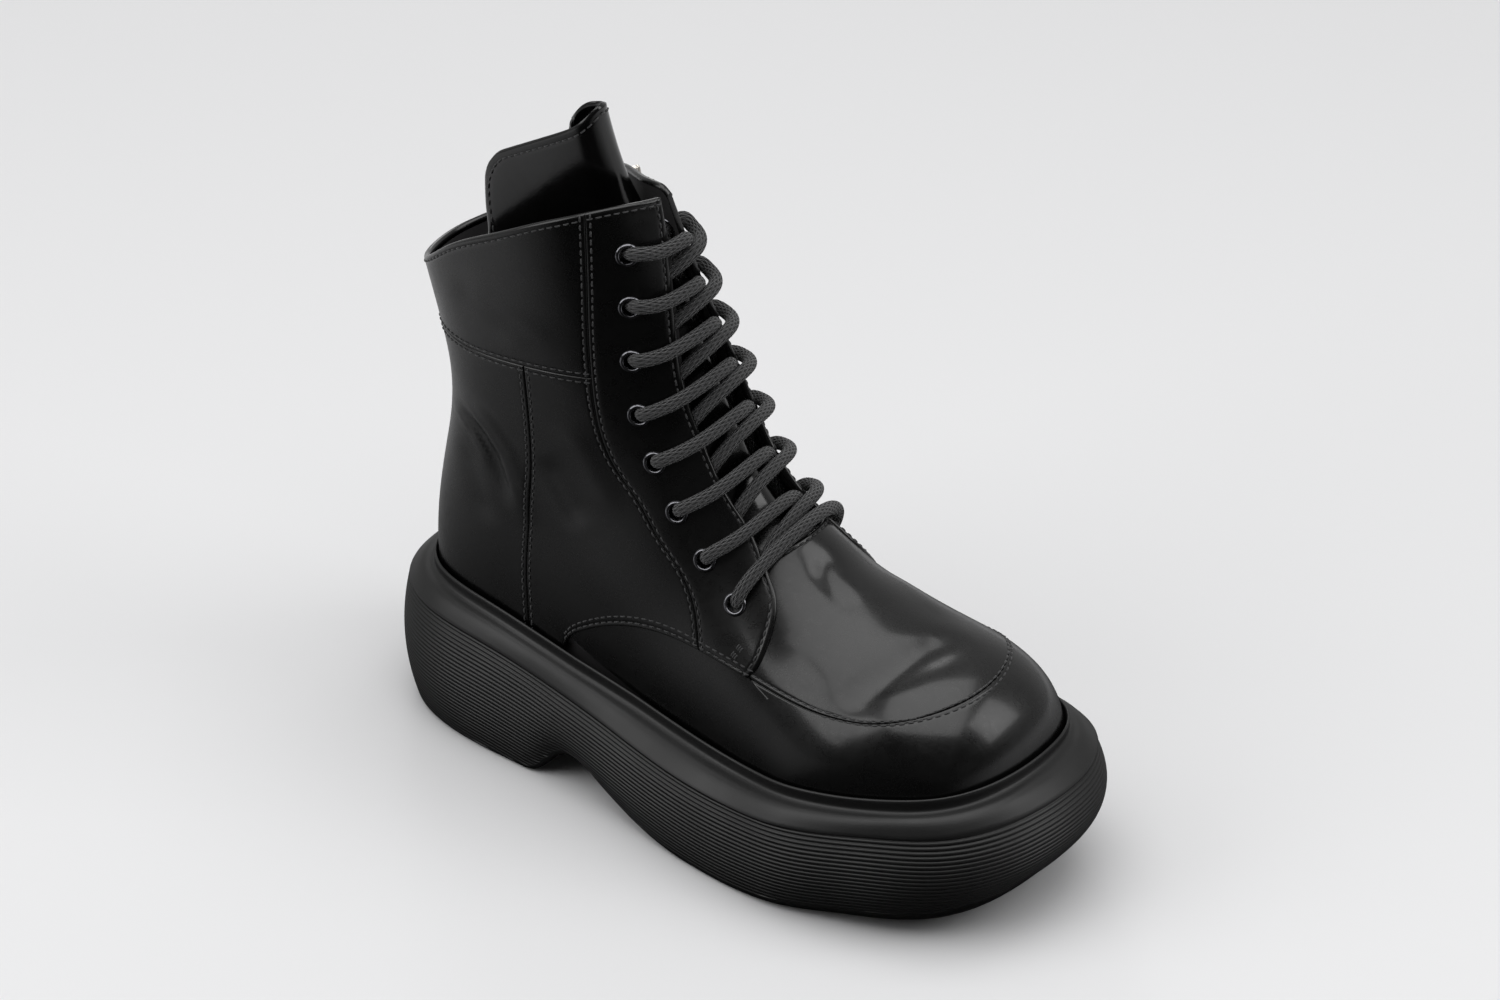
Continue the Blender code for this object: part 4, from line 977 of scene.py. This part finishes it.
def tongueSheet():
    # a few rows up the tongue, joined by a smooth curve at each place across
    across = np.linspace(-1, 1, tongue["across"])
    rows = []
    for along, half, depth in zip(*tongueInside.values()):
        rows.append(skin(-across * half, along + 0 * across, -depth + 0 * across))
    rows += [tongueTopRow(across, *row) for row in zip(*tongueTop.values())]
    rows = np.array(rows)
    flat = spline(np.arange(len(rows)), rows.reshape(len(rows), -1),
                  np.linspace(0, len(rows) - 1, tongue["rows"]))
    sheet = flat.reshape(tongue["rows"], tongue["across"], 3)
    for _ in range(3):
        sheet[:, 1:-1] = (sheet[:, :-2] + 2 * sheet[:, 1:-1] + sheet[:, 2:]) / 4
    return sheet


def sheetNormals(sheet):
    across, upward = np.gradient(sheet, axis=1), np.gradient(sheet, axis=0)
    out = np.cross(across, upward)
    return out / np.linalg.norm(out, axis=2, keepdims=True)


tongueMiddle = tongueSheet()
tongueOut = sheetNormals(tongueMiddle)
if tongueOut[tongue["rows"] // 2, tongue["across"] // 2, 0] < 0:
    tongueOut = -tongueOut


def tongueBorder():
    # the free edge in one line, up the lateral side, over the top and down the medial side
    low = tongue["rows"] * 6 // 10

    def along(sheet):
        return np.concatenate([sheet[low:, 0], sheet[-1, 1:-1], sheet[:low:-1, -1]])

    border, out = along(tongueMiddle), along(tongueOut)
    length = lengthAlong(border)
    even = np.arange(0, length[-1], 0.8)
    border, out = (np.stack([np.interp(even, length, values[:, i]) for i in range(3)], 1)
                   for values in (border, out))
    way = np.gradient(border, axis=0)
    way /= np.linalg.norm(way, axis=1, keepdims=True)
    inward = np.cross(out, way)
    return border, inward * (-1 if inward[len(inward) // 2, 2] > 0 else 1)


def tongueStitchLine():
    border, inward = tongueBorder()
    line = border + inward * tongue["stitchInset"]
    flat, normals = tongueMiddle.reshape(-1, 3), tongueOut.reshape(-1, 3)
    near = [int(((flat - point)**2).sum(1).argmin()) for point in line]
    line -= normals[near] * ((line - flat[near]) * normals[near]).sum(1, keepdims=True)
    line += normals[near] * (softShape(line) * tongue["wave"] - 0.1)[:, None]
    return line, normals[near]


def buildTongue():
    # the edge is turned over: the outer and inner faces join in a half round
    thick, edge = tongue["thick"], tongue["edge"]
    sheet, out = tongueMiddle, tongueOut
    border = np.concatenate([sheet[:, 0], sheet[-1], sheet[:, -1]])[::2]
    fromEdge = np.array([np.sqrt(((row[:, None] - border[None])**2).sum(2)).min(1) for row in sheet])
    fromEdge[:, (0, -1)] = fromEdge[-1] = 0
    roundness = np.sqrt(1 - (1 - np.clip(fromEdge / edge, 0, 1))**2)
    seam = 0.16 * np.exp(-((fromEdge - tongue["stitchInset"]) / 0.5)**2)
    wave = softShape(sheet) * tongue["wave"]
    face = sheet + out * (thick * (roundness - 1) / 2 - seam + wave)[..., None]
    rear = sheet - out * (thick + thick * (roundness - 1) / 2 - seam - wave)[..., None]
    made = joinGrids("tongueLeather", [(face, False, False), (rear, False, True)], tongueCalf)
    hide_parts("tongue")


buildLining()
buildTongue()
print("lining and tongue in")


eyelet = {"inner": 2.85, "outer": 4.55, "height": 0.95, "segments": 40}


def surfaceFrame(place, lift):
    # origin and axes on the leather: X up along the boot, Z out of it
    u, v = np.array([place[0]]), np.array([place[1]])
    out = skinNormal(u, v)[0]
    point = leatherAt(u, v, np.array([lift]))[0]
    up = (lastSurface(u, v + 0.004) - lastSurface(u, v - 0.004))[0]
    up -= out * (up @ out)
    up /= np.linalg.norm(up)
    return point, np.stack([up, np.cross(out, up), out])


def buildEyelets():
    inner, outer, high = eyelet["inner"], eyelet["outer"], eyelet["height"]
    # turned profile: rolled flange outside, barrel through the leather, clinched inside
    outline = [(outer - 0.15, -0.35), (outer, 0.05), (outer - 0.1, 0.4), (outer - 0.35, 0.72),
               (outer - 0.7, high * 0.96), (inner + 0.7, high), (inner + 0.35, high * 0.9),
               (inner + 0.12, high * 0.62), (inner, 0.1), (inner, -0.8), (inner, -2.6),
               (inner + 0.25, -3.1), (inner + 0.9, -3.25), (inner + 1.3, -3.0), (inner + 1.4, -2.7)]
    turn = np.linspace(0, 2 * math.pi, eyelet["segments"], endpoint=False)
    radius, height = np.array(outline).T
    radius, height = radius[:, None], height[:, None]
    shape = np.stack([radius * np.cos(turn), radius * np.sin(turn), height + 0 * turn], -1)
    grids = []
    for side in (-1, 1):
        for place in onBoot[side]:
            point, axes = surfaceFrame(place, leather["quarterStep"])
            grids.append((point + shape @ axes, True, False))
    made = joinGrids("eyeletRings", grids, gunmetal)
    names = [f"eyelet_{word}_{number}" for word in ("lateral", "medial") for number in range(1, 9)]
    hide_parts(*names)


buildEyelets()
print("eyelets set")


# Lace: one round braided cord through every eyelet, from the lateral top one to the medial top one
lace = {"radius": 2.5, "squeezed": 2.15, "around": 48, "spacing": 0.72, "carriers": 12, "pitch": 4.4,
        "relief": 0.13, "barLift": 4.0, "barBow": 1.1, "underside": -4.6, "endLength": 0.035}


def throatHalf(along, side):
    return float(profile(throatTable, "lateral" if side > 0 else "medial", along))


# A strand from eyelet to eyelet: where it is (its own eyelet and edge, the throat, the far edge and
# eyelet), how far down it has come, and its height over the last
strands = {
    "lateral": (("hole", 0, 0.0, -2.8), ("hole", 0.7, 0.0, 0.4), ("hole", 3.6, 0.03, 4.1),
                ("edge", 0.5, 0.17, 4.2), ("edge", 1.0, 0.31, 3.3), ("throat", 0.5, 0.41, 0.6),
                ("far", 1.0, 0.50, -3.2), ("far", 0.6, 0.66, -4.7), ("end", 0.0, 0.96, -4.7)),
    "medial": (("hole", 0, 0.0, -2.8), ("hole", 0.7, 0.0, 0.4), ("hole", 3.6, 0.05, 4.2),
               ("edge", 0.5, 0.24, 5.4), ("edge", 1.0, 0.48, 5.3), ("throat", 0.5, 0.72, 2.0),
               ("far", 1.0, 0.92, -2.6), ("far", 0.6, 0.99, -4.5), ("end", 0.0, 1.0, -4.7)),
}


def laceStrand(start, end):
    # out of one eyelet, over its own facing, across the throat and under the other facing to the next
    side = 1 if start[0] > 0 else -1
    middle = (start[1] + end[1]) / 2
    edge, far = side * throatHalf(middle, side), -side * throatHalf(middle, -side)
    perMillimetre = 0.01 / np.linalg.norm(lastSurface(start[0] + 0.01, start[1]) - lastSurface(*start))
    points = []
    for spot, part, share, lift in strands["lateral" if side > 0 else "medial"]:
        if spot == "hole":
            around = start[0] - side * part * perMillimetre
        elif spot == "edge":
            around = start[0] + (edge + side * 0.02 - start[0]) * part
        elif spot == "throat":
            around = edge + (far - edge) * part
        elif spot == "far":
            around = far * (part + (1 - part) * end[0] / far)
        else:
            around = end[0] * 0.9
        points.append(skin(around, start[1] + (end[1] - start[1]) * share, lift))
    return points


def lacePath():
    lateral, medial = onBoot[-1], onBoot[1]
    down = [(lateral, medial)[number % 2] for number in range(8)]
    other = [(medial, lateral)[number % 2] for number in range(8)]
    # the hidden ends stop a little below the top eyelets, behind the facings
    points = [skin(lateral[0][0] * 1.02, lateral[0][1] - lace["endLength"], lace["underside"])]
    for number in range(7):
        points += laceStrand(down[number][number], down[number + 1][number + 1])
    final, first = down[7][7], other[7][7]
    along = (final[1] + first[1]) / 2
    points += [skin(final[0], final[1], -2.8), skin(final[0] * 0.985, final[1], 0.4)]
    for eyeletPlace, parts in ((final, (0.88, 0.5)), (first, (0.0, 0.5, 0.88))):
        for part in parts:
            lift = lace["barLift"] + lace["barBow"] * (1 - part**2)
            level = eyeletPlace[1] + (along - eyeletPlace[1]) * (1 - part)
            points.append(skin(eyeletPlace[0] * part, level, lift))
    points += [skin(first[0] * 0.985, first[1], 0.4)]
    backwards = []
    for number in range(7):
        backwards += laceStrand(other[number][number], other[number + 1][number + 1])
    backwards += [skin(first[0], first[1], -2.8)]
    points += backwards[::-1]
    points.append(skin(medial[0][0] * 1.02, medial[0][1] - lace["endLength"], lace["underside"]))
    return np.array(points)


def tubeAlong(path, radius, around, spacing, relief):
    # rings with a frame carried along the path without twisting
    length = lengthAlong(path)
    fine = spline(length, path, np.linspace(0, length[-1], int(length[-1] / 0.25)))
    walk = lengthAlong(fine)
    at = np.arange(0, walk[-1], spacing)
    centre = np.stack([np.interp(at, walk, fine[:, i]) for i in range(3)], 1)
    way = np.gradient(centre, axis=0)
    way /= np.linalg.norm(way, axis=1, keepdims=True)
    side = np.zeros_like(way)
    side[0] = np.cross(way[0], (0.3, 0.4, 0.8))
    side[0] /= np.linalg.norm(side[0])
    for i in range(1, len(way)):
        carried = side[i - 1] - way[i] * (side[i - 1] @ way[i])
        side[i] = carried / np.linalg.norm(carried)
    up = np.cross(way, side)
    turn = np.linspace(0, 2 * math.pi, around, endpoint=False)
    size = np.interp(at / walk[-1], np.linspace(0, 1, len(radius)), radius)[:, None]
    size = size + relief(turn[None], at[:, None])
    rings = centre[:, None] + size[..., None] * (side[:, None] * np.cos(turn)[None, :, None]
                                                 + up[:, None] * np.sin(turn)[None, :, None])
    return rings, at


def braidRelief(turn, run):
    first = np.sin(lace["carriers"] * turn + 2 * math.pi * run / lace["pitch"])
    second = np.sin(lace["carriers"] * turn - 2 * math.pi * run / lace["pitch"])
    return lace["relief"] * np.maximum(first, second)


def buildLace():
    path = lacePath()
    length = lengthAlong(path)
    holes = np.concatenate([onBoot[-1], onBoot[1]])
    centres = skin(holes[:, 0], holes[:, 1], 0.0)
    at = np.linspace(0, length[-1], 3000)
    fine = spline(length, path, at)
    away = np.linalg.norm(fine[:, None] - centres[None], axis=2).min(1)
    radius = lace["squeezed"] + (lace["radius"] - lace["squeezed"]) * np.clip((away - 1.5) / 3, 0, 1)
    rings, run = tubeAlong(path, radius, lace["around"], lace["spacing"], braidRelief)
    made = joinGrids("braidedLace", [(rings, True, False)], braid)
    corner = made.data.uv_layers.new(name="cordMap")
    # the last column of faces wraps round, so its far corners read one full turn
    rows, columns = rings.shape[:2]
    r, c = np.meshgrid(np.arange(rows - 1), np.arange(columns), indexing="ij")
    u = np.stack([c, c + 1, c + 1, c], -1) / columns
    v = run[np.stack([r, r, r + 1, r + 1], -1)]
    corner.data.foreach_set("uv", np.stack([u, v], -1).ravel())
    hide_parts("lace_bar", *[f"lace_cross_{number}" for number in range(1, 8)])


buildLace()
print("lace threaded")


stitch = {"pitch": 3.3, "length": 2.75, "radius": 0.33, "around": 6, "rings": 7, "stand": 0.28}


def stitchRings(points, normals):
    # one row of separate stitches, each a short bowed thread whose ends go into the leather
    length = lengthAlong(points)
    count = int(length[-1] / stitch["pitch"])
    if count < 1:
        return np.zeros((0, stitch["rings"], stitch["around"], 3))
    centre = (np.arange(count) + 0.5) * length[-1] / count
    part = np.linspace(-1, 1, stitch["rings"])
    at = centre[:, None] + part * stitch["length"] / 2

    def read(values):
        return np.stack([np.interp(at, length, values[:, i]) for i in range(3)], -1)

    place, out = read(points), read(normals)
    way = read(np.gradient(points, axis=0))
    way /= np.linalg.norm(way, axis=-1, keepdims=True)
    aside = np.cross(out, way)
    high = stitch["stand"] * (1 - part**2) - 0.3 * part**6
    size = stitch["radius"] * np.sqrt(1 - 0.98 * part**6)
    turn = np.linspace(0, 2 * math.pi, stitch["around"], endpoint=False)
    middle = place + out * high[:, None]
    return middle[:, :, None] + size[:, None, None] * (aside[:, :, None] * np.cos(turn)[:, None]
                                                       + out[:, :, None] * np.sin(turn)[:, None] * 0.9)


def sew(name, rows):
    rings = np.concatenate([stitchRings(points, normals) for points, normals in rows])
    count, deep, wide = rings.shape[:3]
    faces = gridFaces(deep, wide, True)
    faces = (faces[None] + np.arange(count)[:, None, None] * deep * wide).reshape(-1, 4)
    return meshObject(name, toWorld(rings.reshape(-1, 3)), faces, thread)


# Rows by panel: edge, and the part of the edge that is sewn
stitchRows = {
    "facingLateral": (("left", 0.0, 1.0), ("right", 0.02, 0.99), ("top", 0.0, 1.0), ("bottom", 0.0, 1.0)),
    "facingMedial": (("left", 0.0, 1.0), ("right", 0.02, 0.99), ("top", 0.0, 1.0), ("bottom", 0.0, 1.0)),
    "quarterLateral": (("left", 0.0, 1.0), ("right", 0.0, 1.0), ("top", 0.0, 1.0), ("bottom", 0.24, 1.0)),
    "heelLateral": (("right", 0.0, 1.0), ("top", 0.0, 1.0)),
    "collarBand": (("bottom", 0.0, 1.0), ("top", 0.01, 0.99), ("left", 0.0, 1.0), ("right", 0.0, 1.0)),
    "bandMedial": (("bottom", 0.0, 1.0), ("top", 0.0, 1.0), ("left", 0.0, 1.0), ("right", 0.0, 1.0)),
    "quarterMedial": (("left", 0.0, 1.0), ("right", 0.0, 1.0), ("top", 0.0, 1.0), ("bottom", 0.0, 1.0)),
    "heelMedial": (("top", 0.0, 1.0), ("right", 0.0, 1.0)),
    "vamp": (("bottom", 0.0, 1.0), ("left", 0.0, 0.72), ("right", 0.0, 0.72), ("top", 0.2, 0.8)),
    "toeWall": (("top", 0.33, 0.67),),
    "backStrip": (("left", 0.0, 1.0), ("right", 0.0, 1.0), ("top", 0.0, 1.0)),
}
# Bar tacks where the quarters' tips are sewn down, seen from the side
barTacks = {"places": ((175.5, 88.7), (180.5, 91.5)), "length": 7.0, "rows": 3, "gap": 0.9}
edgeNumber = {"bottom": 0, "top": 1, "left": 2, "right": 3}


def sewPanels():
    rows = []
    for name, edges in stitchRows.items():
        panel = panels[name]
        for edge, start, end in edges:
            inset = stitchInset[panel.kinds[edgeNumber[edge]]]
            rows.append(panel.row(edge, inset, start, end))
            if edge == "bottom" and panel.kinds[0] == "lap":
                rows.append(panel.row(edge, inset + 2.2, start, end))
    for side, (x, z) in zip((-1, 1), barTacks["places"]):
        place = placesOf([(x, 0, z)], (1, 0, 1), side)[0]
        point, axes = surfaceFrame(place, leather["quarterStep"] - 0.1)
        for number in range(barTacks["rows"]):
            across = (number - (barTacks["rows"] - 1) / 2) * barTacks["gap"]
            ends = np.linspace(-0.5, 0.5, 12)[:, None] * barTacks["length"]
            rows.append((point + axes[0] * across + axes[1] * ends, axes[2] + 0 * ends))
    rows.append(tongueStitchLine())
    sew("panelStitches", rows)


sewPanels()
print("stitched")


slider = {"x": 79.8, "z": 225.5, "hinge": 5.6, "pull": 29.0, "width": 5.6}


def zipLineAt():
    line = between(seamLines["zip"], high=collarLine)
    start = nearestOn(line, lowerLines["medial"][nearestOn(lowerLines["medial"], line[20])])
    return line[start + 1:]


def buildZip():
    line = zipLineAt()
    reader = lineReader(line)
    share = np.linspace(0, 1, 140)
    places = reader(share)
    middle = leatherAt(places[:, 0], places[:, 1], 0 * share)
    out = skinNormal(places[:, 0], places[:, 1])
    way = np.gradient(middle, axis=0)
    way /= np.linalg.norm(way, axis=1, keepdims=True)
    aside = np.cross(out, way)
    length = lengthAlong(middle)[-1]
    # woven tape under the folded edges
    across = np.linspace(-1, 1, 15)
    tape = (middle[:, None] + aside[:, None] * across[None, :, None] * zipSize["tapeHalf"]
            + out[:, None] * (-zipSize["tapeDeep"] - 0.5 * np.abs(across)[None, :, None]))
    made = joinGrids("zipTapeCloth", [(tape, False, False)], zipTape)
    # the closed coil: loops of both tapes interlock in turn across the middle
    walk = lengthAlong(middle)
    count = int((length - 4) / (zipSize["pitch"] / 2))
    part = np.linspace(-1, 1, 7)
    turn = np.linspace(0, 2 * math.pi, 8, endpoint=False)
    grids = []
    for number in range(count):
        at = 1 + number * zipSize["pitch"] / 2

        def read(values, at=at):
            return np.array([np.interp(at, walk, values[:, i]) for i in range(3)])

        point, normal, along, side = read(middle), read(out), read(way), read(aside)
        sign = 1 if number % 2 else -1
        reach = sign * (0.75 + 1.35 * part)
        size = 0.43 * np.sqrt(1 - 0.94 * part**4)
        height = 0.55 - 0.3 * (reach / 2.1)**2
        ring = point + side * reach[:, None] + normal * height[:, None] + along * (0.12 * part)[:, None]
        circle = along * np.cos(turn)[:, None] + normal * np.sin(turn)[:, None] * 0.85
        grids.append((ring[:, None] + size[:, None, None] * circle, True, False))
    made = joinGrids("zipCoil", grids, coilPlastic)
    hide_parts("zip_coil")


def sliderFrame():
    place = placesOf([(slider["x"], 0, slider["z"])], (1, 0, 1), 1)[0]
    axes = surfaceFrame(place, 0.0)[1]
    point = lastSurface(*place)
    matrix = Matrix([list(row) for row in axes.T]).to_4x4()
    matrix.translation = Vector(toWorld(point))
    return matrix


def softBox(work, low, high, taper=1.0):
    # a box in millimetres, its far end narrower by the taper
    made = bmesh.ops.create_cube(work, size=1.0)
    low, high = Vector(low), Vector(high)
    for corner in made["verts"]:
        narrow = taper if corner.co.x < 0 else 1.0
        corner.co = Vector(((low.x + high.x) / 2 + corner.co.x * (high.x - low.x),
                            ((low.y + high.y) / 2 + corner.co.y * (high.y - low.y)) * narrow,
                            (low.z + high.z) / 2 + corner.co.z * (high.z - low.z)))


def metalPiece(name, boxes, matrix, body, bevel):
    # boxes give low and high corners and the taper; the bevel is in metres
    work = bmesh.new()
    for item in boxes:
        softBox(work, *item)
    bmesh.ops.scale(work, vec=(0.001, 0.001, 0.001), verts=work.verts)
    mesh = bpy.data.meshes.new(name)
    work.to_mesh(mesh)
    work.free()
    mesh.materials.append(nickel)
    mesh.shade_smooth()
    made = bpy.data.objects.new(name, mesh)
    bpy.context.scene.collection.objects.link(made)
    made.matrix_world = matrix
    edge = made.modifiers.new("edge", "BEVEL")
    edge.width, edge.segments, edge.limit_method, edge.angle_limit = bevel, 3, "ANGLE", math.radians(40)
    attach(made, body)
    return made


def buildSlider():
    matrix = sliderFrame()
    base, top = leather["quarterStep"] + 0.5, slider["hinge"] + 1.1
    # the slider's plate, the two posts of its bridge and the cross bar on them
    body = metalPiece("zipSliderBody", (((-5.2, -3.6, base), (5.2, 3.6, base + 1.7), 0.72),
                                        ((-4.6, -1.15, base + 1.5), (-3.1, 1.15, top), 1.0),
                                        ((3.0, -1.3, base + 1.5), (4.7, 1.3, top), 1.0),
                                        ((-4.6, -1.15, top - 0.7), (4.7, 1.15, top + 0.9), 0.9)),
                      matrix, "boot", 0.0004)
    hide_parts("zip_slider")
    lifted = matrix @ Matrix.Translation((0, 0, slider["hinge"] / 1000))
    half, far = slider["width"] / 2, slider["pull"]
    # the tab's eye round the cross bar, its neck, its blade and the thicker grip at the end
    pull = metalPiece("zipPullTab", (((-0.7, -half + 0.3, -0.65), (0.7, half - 0.3, 0.65), 1.0),
                                     ((-6.6, -half + 0.3, -0.6), (0.2, -half + 1.5, 0.6), 1.0),
                                     ((-6.6, half - 1.5, -0.6), (0.2, half - 0.3, 0.6), 1.0),
                                     ((-8.6, -half + 0.3, -0.62), (-6.2, half - 0.3, 0.62), 1.0),
                                     ((-far + 4.5, -half, -0.55), (-8.2, half, 0.55), 1.0),
                                     ((-far - 0.5, -half - 0.15, -1.15), (-far + 5.2, half + 0.15, 1.15),
                                      1.0)),
                      lifted, "zip_pull", 0.0003)
    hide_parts("zip_pull")


buildZip()
buildSlider()
print("zip closed")


def plainFloor():
    mesh = bpy.data.meshes.new("floor")
    reach = studio["floorReach"]
    corners = [(-reach, -reach, 0), (reach, -reach, 0), (reach, reach, 0), (-reach, reach, 0)]
    mesh.from_pydata(corners, [], [(0, 1, 2, 3)])
    made = bpy.data.objects.new("floor", mesh)
    paper, tree, shader, position = newMaterial("seamlessPaper", {"Roughness": 0.8,
                                                                  "Specular IOR Level": 0.2})
    # in the leather's gloss the paper is painted darker, a painted dark reflection that stands in for a
    # polarising filter, most of all towards the dark end of the room, and a painted shadow on the paper near
    # the boot
    glossy = addNode(tree, "ShaderNodeLightPath").outputs["Is Glossy Ray"]
    way = addNode(tree, "ShaderNodeVectorMath", {"operation": "NORMALIZE"}, {0: position}).outputs[0]
    toDark = addNode(tree, "ShaderNodeVectorMath", {"operation": "DOT_PRODUCT", 1: studio["darkWay"]},
                     {0: way})
    away = addNode(tree, "ShaderNodeVectorMath", {"operation": "LENGTH"}, {0: position}).outputs["Value"]
    nearWay = addNode(tree, "ShaderNodeMapRange", {"From Min": 0.2, "From Max": 0.85},
                      {"Value": toDark.outputs["Value"]})
    paintedBootShadow = addNode(tree, "ShaderNodeMapRange", {"From Min": studio["paintedShadowReach"][0],
                                                    "From Max": studio["paintedShadowReach"][1], "To Min": 1.0,
                                                    "To Max": 0.0}, {"Value": away})
    share = addNode(tree, "ShaderNodeMath", {"operation": "MAXIMUM"},
                    {0: nearWay.outputs["Result"], 1: paintedBootShadow.outputs["Result"]})
    dimmed = addNode(tree, "ShaderNodeMix", {"data_type": "RGBA", 6: linear(studio["paperPaintedDarkInGloss"][0]),
                                             7: linear(studio["paperPaintedDarkInGloss"][1])}, {0: share.outputs[0]})
    color = addNode(tree, "ShaderNodeMix", {"data_type": "RGBA", 6: linear(studio["paper"])},
                    {0: glossy, 7: dimmed.outputs[2]})
    tree.links.new(color.outputs[2], shader.inputs["Base Color"])
    mesh.materials.append(paper)
    bpy.context.scene.collection.objects.link(made)


def areaLight(name, place, target, size, power):
    lamp = bpy.data.lights.new(name, "AREA")
    lamp.shape, lamp.size, lamp.size_y, lamp.energy = "RECTANGLE", size[0], size[1], power
    made = bpy.data.objects.new(name, lamp)
    made.location = place
    made.rotation_euler = (Vector(target) - Vector(place)).to_track_quat("-Z", "Y").to_euler()
    bpy.context.scene.collection.objects.link(made)
    return made


def softRoom():
    # a dark room on the camera's side and a pale wall behind the boot; the wall alone is seen directly
    world = bpy.data.worlds.new("softRoom")
    world.use_nodes = True
    tree = world.node_tree
    shader = tree.nodes["Background"]
    shader.inputs["Strength"].default_value = 1.0
    way = addNode(tree, "ShaderNodeTexCoord").outputs["Generated"]
    facing = addNode(tree, "ShaderNodeVectorMath", {"operation": "DOT_PRODUCT", 1: studio["wallWay"]},
                     {0: way})
    room = addNode(tree, "ShaderNodeMapRange", {"From Min": -0.5, "From Max": 0.6, "To Min": studio["room"],
                                                "To Max": studio["wall"]}, {"Value": facing.outputs["Value"]})
    seen = addNode(tree, "ShaderNodeLightPath").outputs["Is Camera Ray"]
    shade = addNode(tree, "ShaderNodeMix", {"data_type": "FLOAT", 3: studio["backdrop"]},
                    {0: seen, 2: room.outputs["Result"]})
    tree.links.new(shade.outputs[0], shader.inputs["Color"])
    bpy.context.scene.world = world


# Light boxes: azimuth and elevation seen from the boot, distance, size and power
studio = {"floorReach": 9.0, "wallWay": (-0.588, 0.809, 0.1), "room": 0.05, "wall": 0.42, "backdrop": 0.78,
          # after the plain paper come its painted darker colours in gloss, the way of its painted dark
          # reflection and the reach of its painted shadow round the boot
          "paper": "#e9e9ea", "paperPaintedDarkInGloss": ("#c8c8c9", "#161616"), "darkWay": (0.454, -0.891, 0),
          "paintedShadowReach": (0.14, 0.52)}
lightBoxes = {
    "overheadBox": {"azimuth": 36, "elevation": 82, "distance": 2.2, "size": (2.4, 2.4), "power": 34},
    "leftBox": {"azimuth": -38, "elevation": 36, "distance": 2.2, "size": (1.4, 1.5), "power": 13},
    "rightBox": {"azimuth": 112, "elevation": 37, "distance": 2.2, "size": (1.1, 1.3), "power": 11},
    "backStripBox": {"azimuth": 222, "elevation": 26, "distance": 2.4, "size": (0.5, 1.5), "power": 4},
}


def fromBoot(azimuth, elevation, distance):
    turn, rise = math.radians(azimuth), math.radians(elevation)
    level = math.cos(rise)
    return Vector((math.sin(turn) * level, -math.cos(turn) * level, math.sin(rise))) * distance


bpy.context.scene.view_settings.view_transform = "Standard"     # plain contrast keeps black leather black
plainFloor()
softRoom()
for name, box in lightBoxes.items():
    place = fromBoot(box["azimuth"], box["elevation"], box["distance"])
    areaLight(name, place, (0, 0, 0.1), box["size"], box["power"])

# Camera far back on a long lens, its middle moved a little aside and down from the boot's
view = {"azimuth": 36.0, "elevation": 33.0, "distance": 1.8, "lens": 118.0, "right": 0.005, "up": -0.012}
azimuth = math.radians(view["azimuth"])
backward = fromBoot(view["azimuth"], view["elevation"], 1)
rightward = Vector((math.cos(azimuth), math.sin(azimuth), 0))
upward = backward.cross(rightward)
middle = (cadBounds[0] + cadBounds[1]) / 2
lens = bpy.data.cameras.new("camera")
lens.lens, lens.sensor_width = view["lens"], 36
camera = bpy.data.objects.new("camera", lens)
camera.location = middle + rightward * view["right"] + upward * view["up"] + backward * view["distance"]
camera.rotation_euler = (-backward).to_track_quat("-Z", "Y").to_euler()
bpy.context.scene.collection.objects.link(camera)
bpy.context.scene.camera = camera
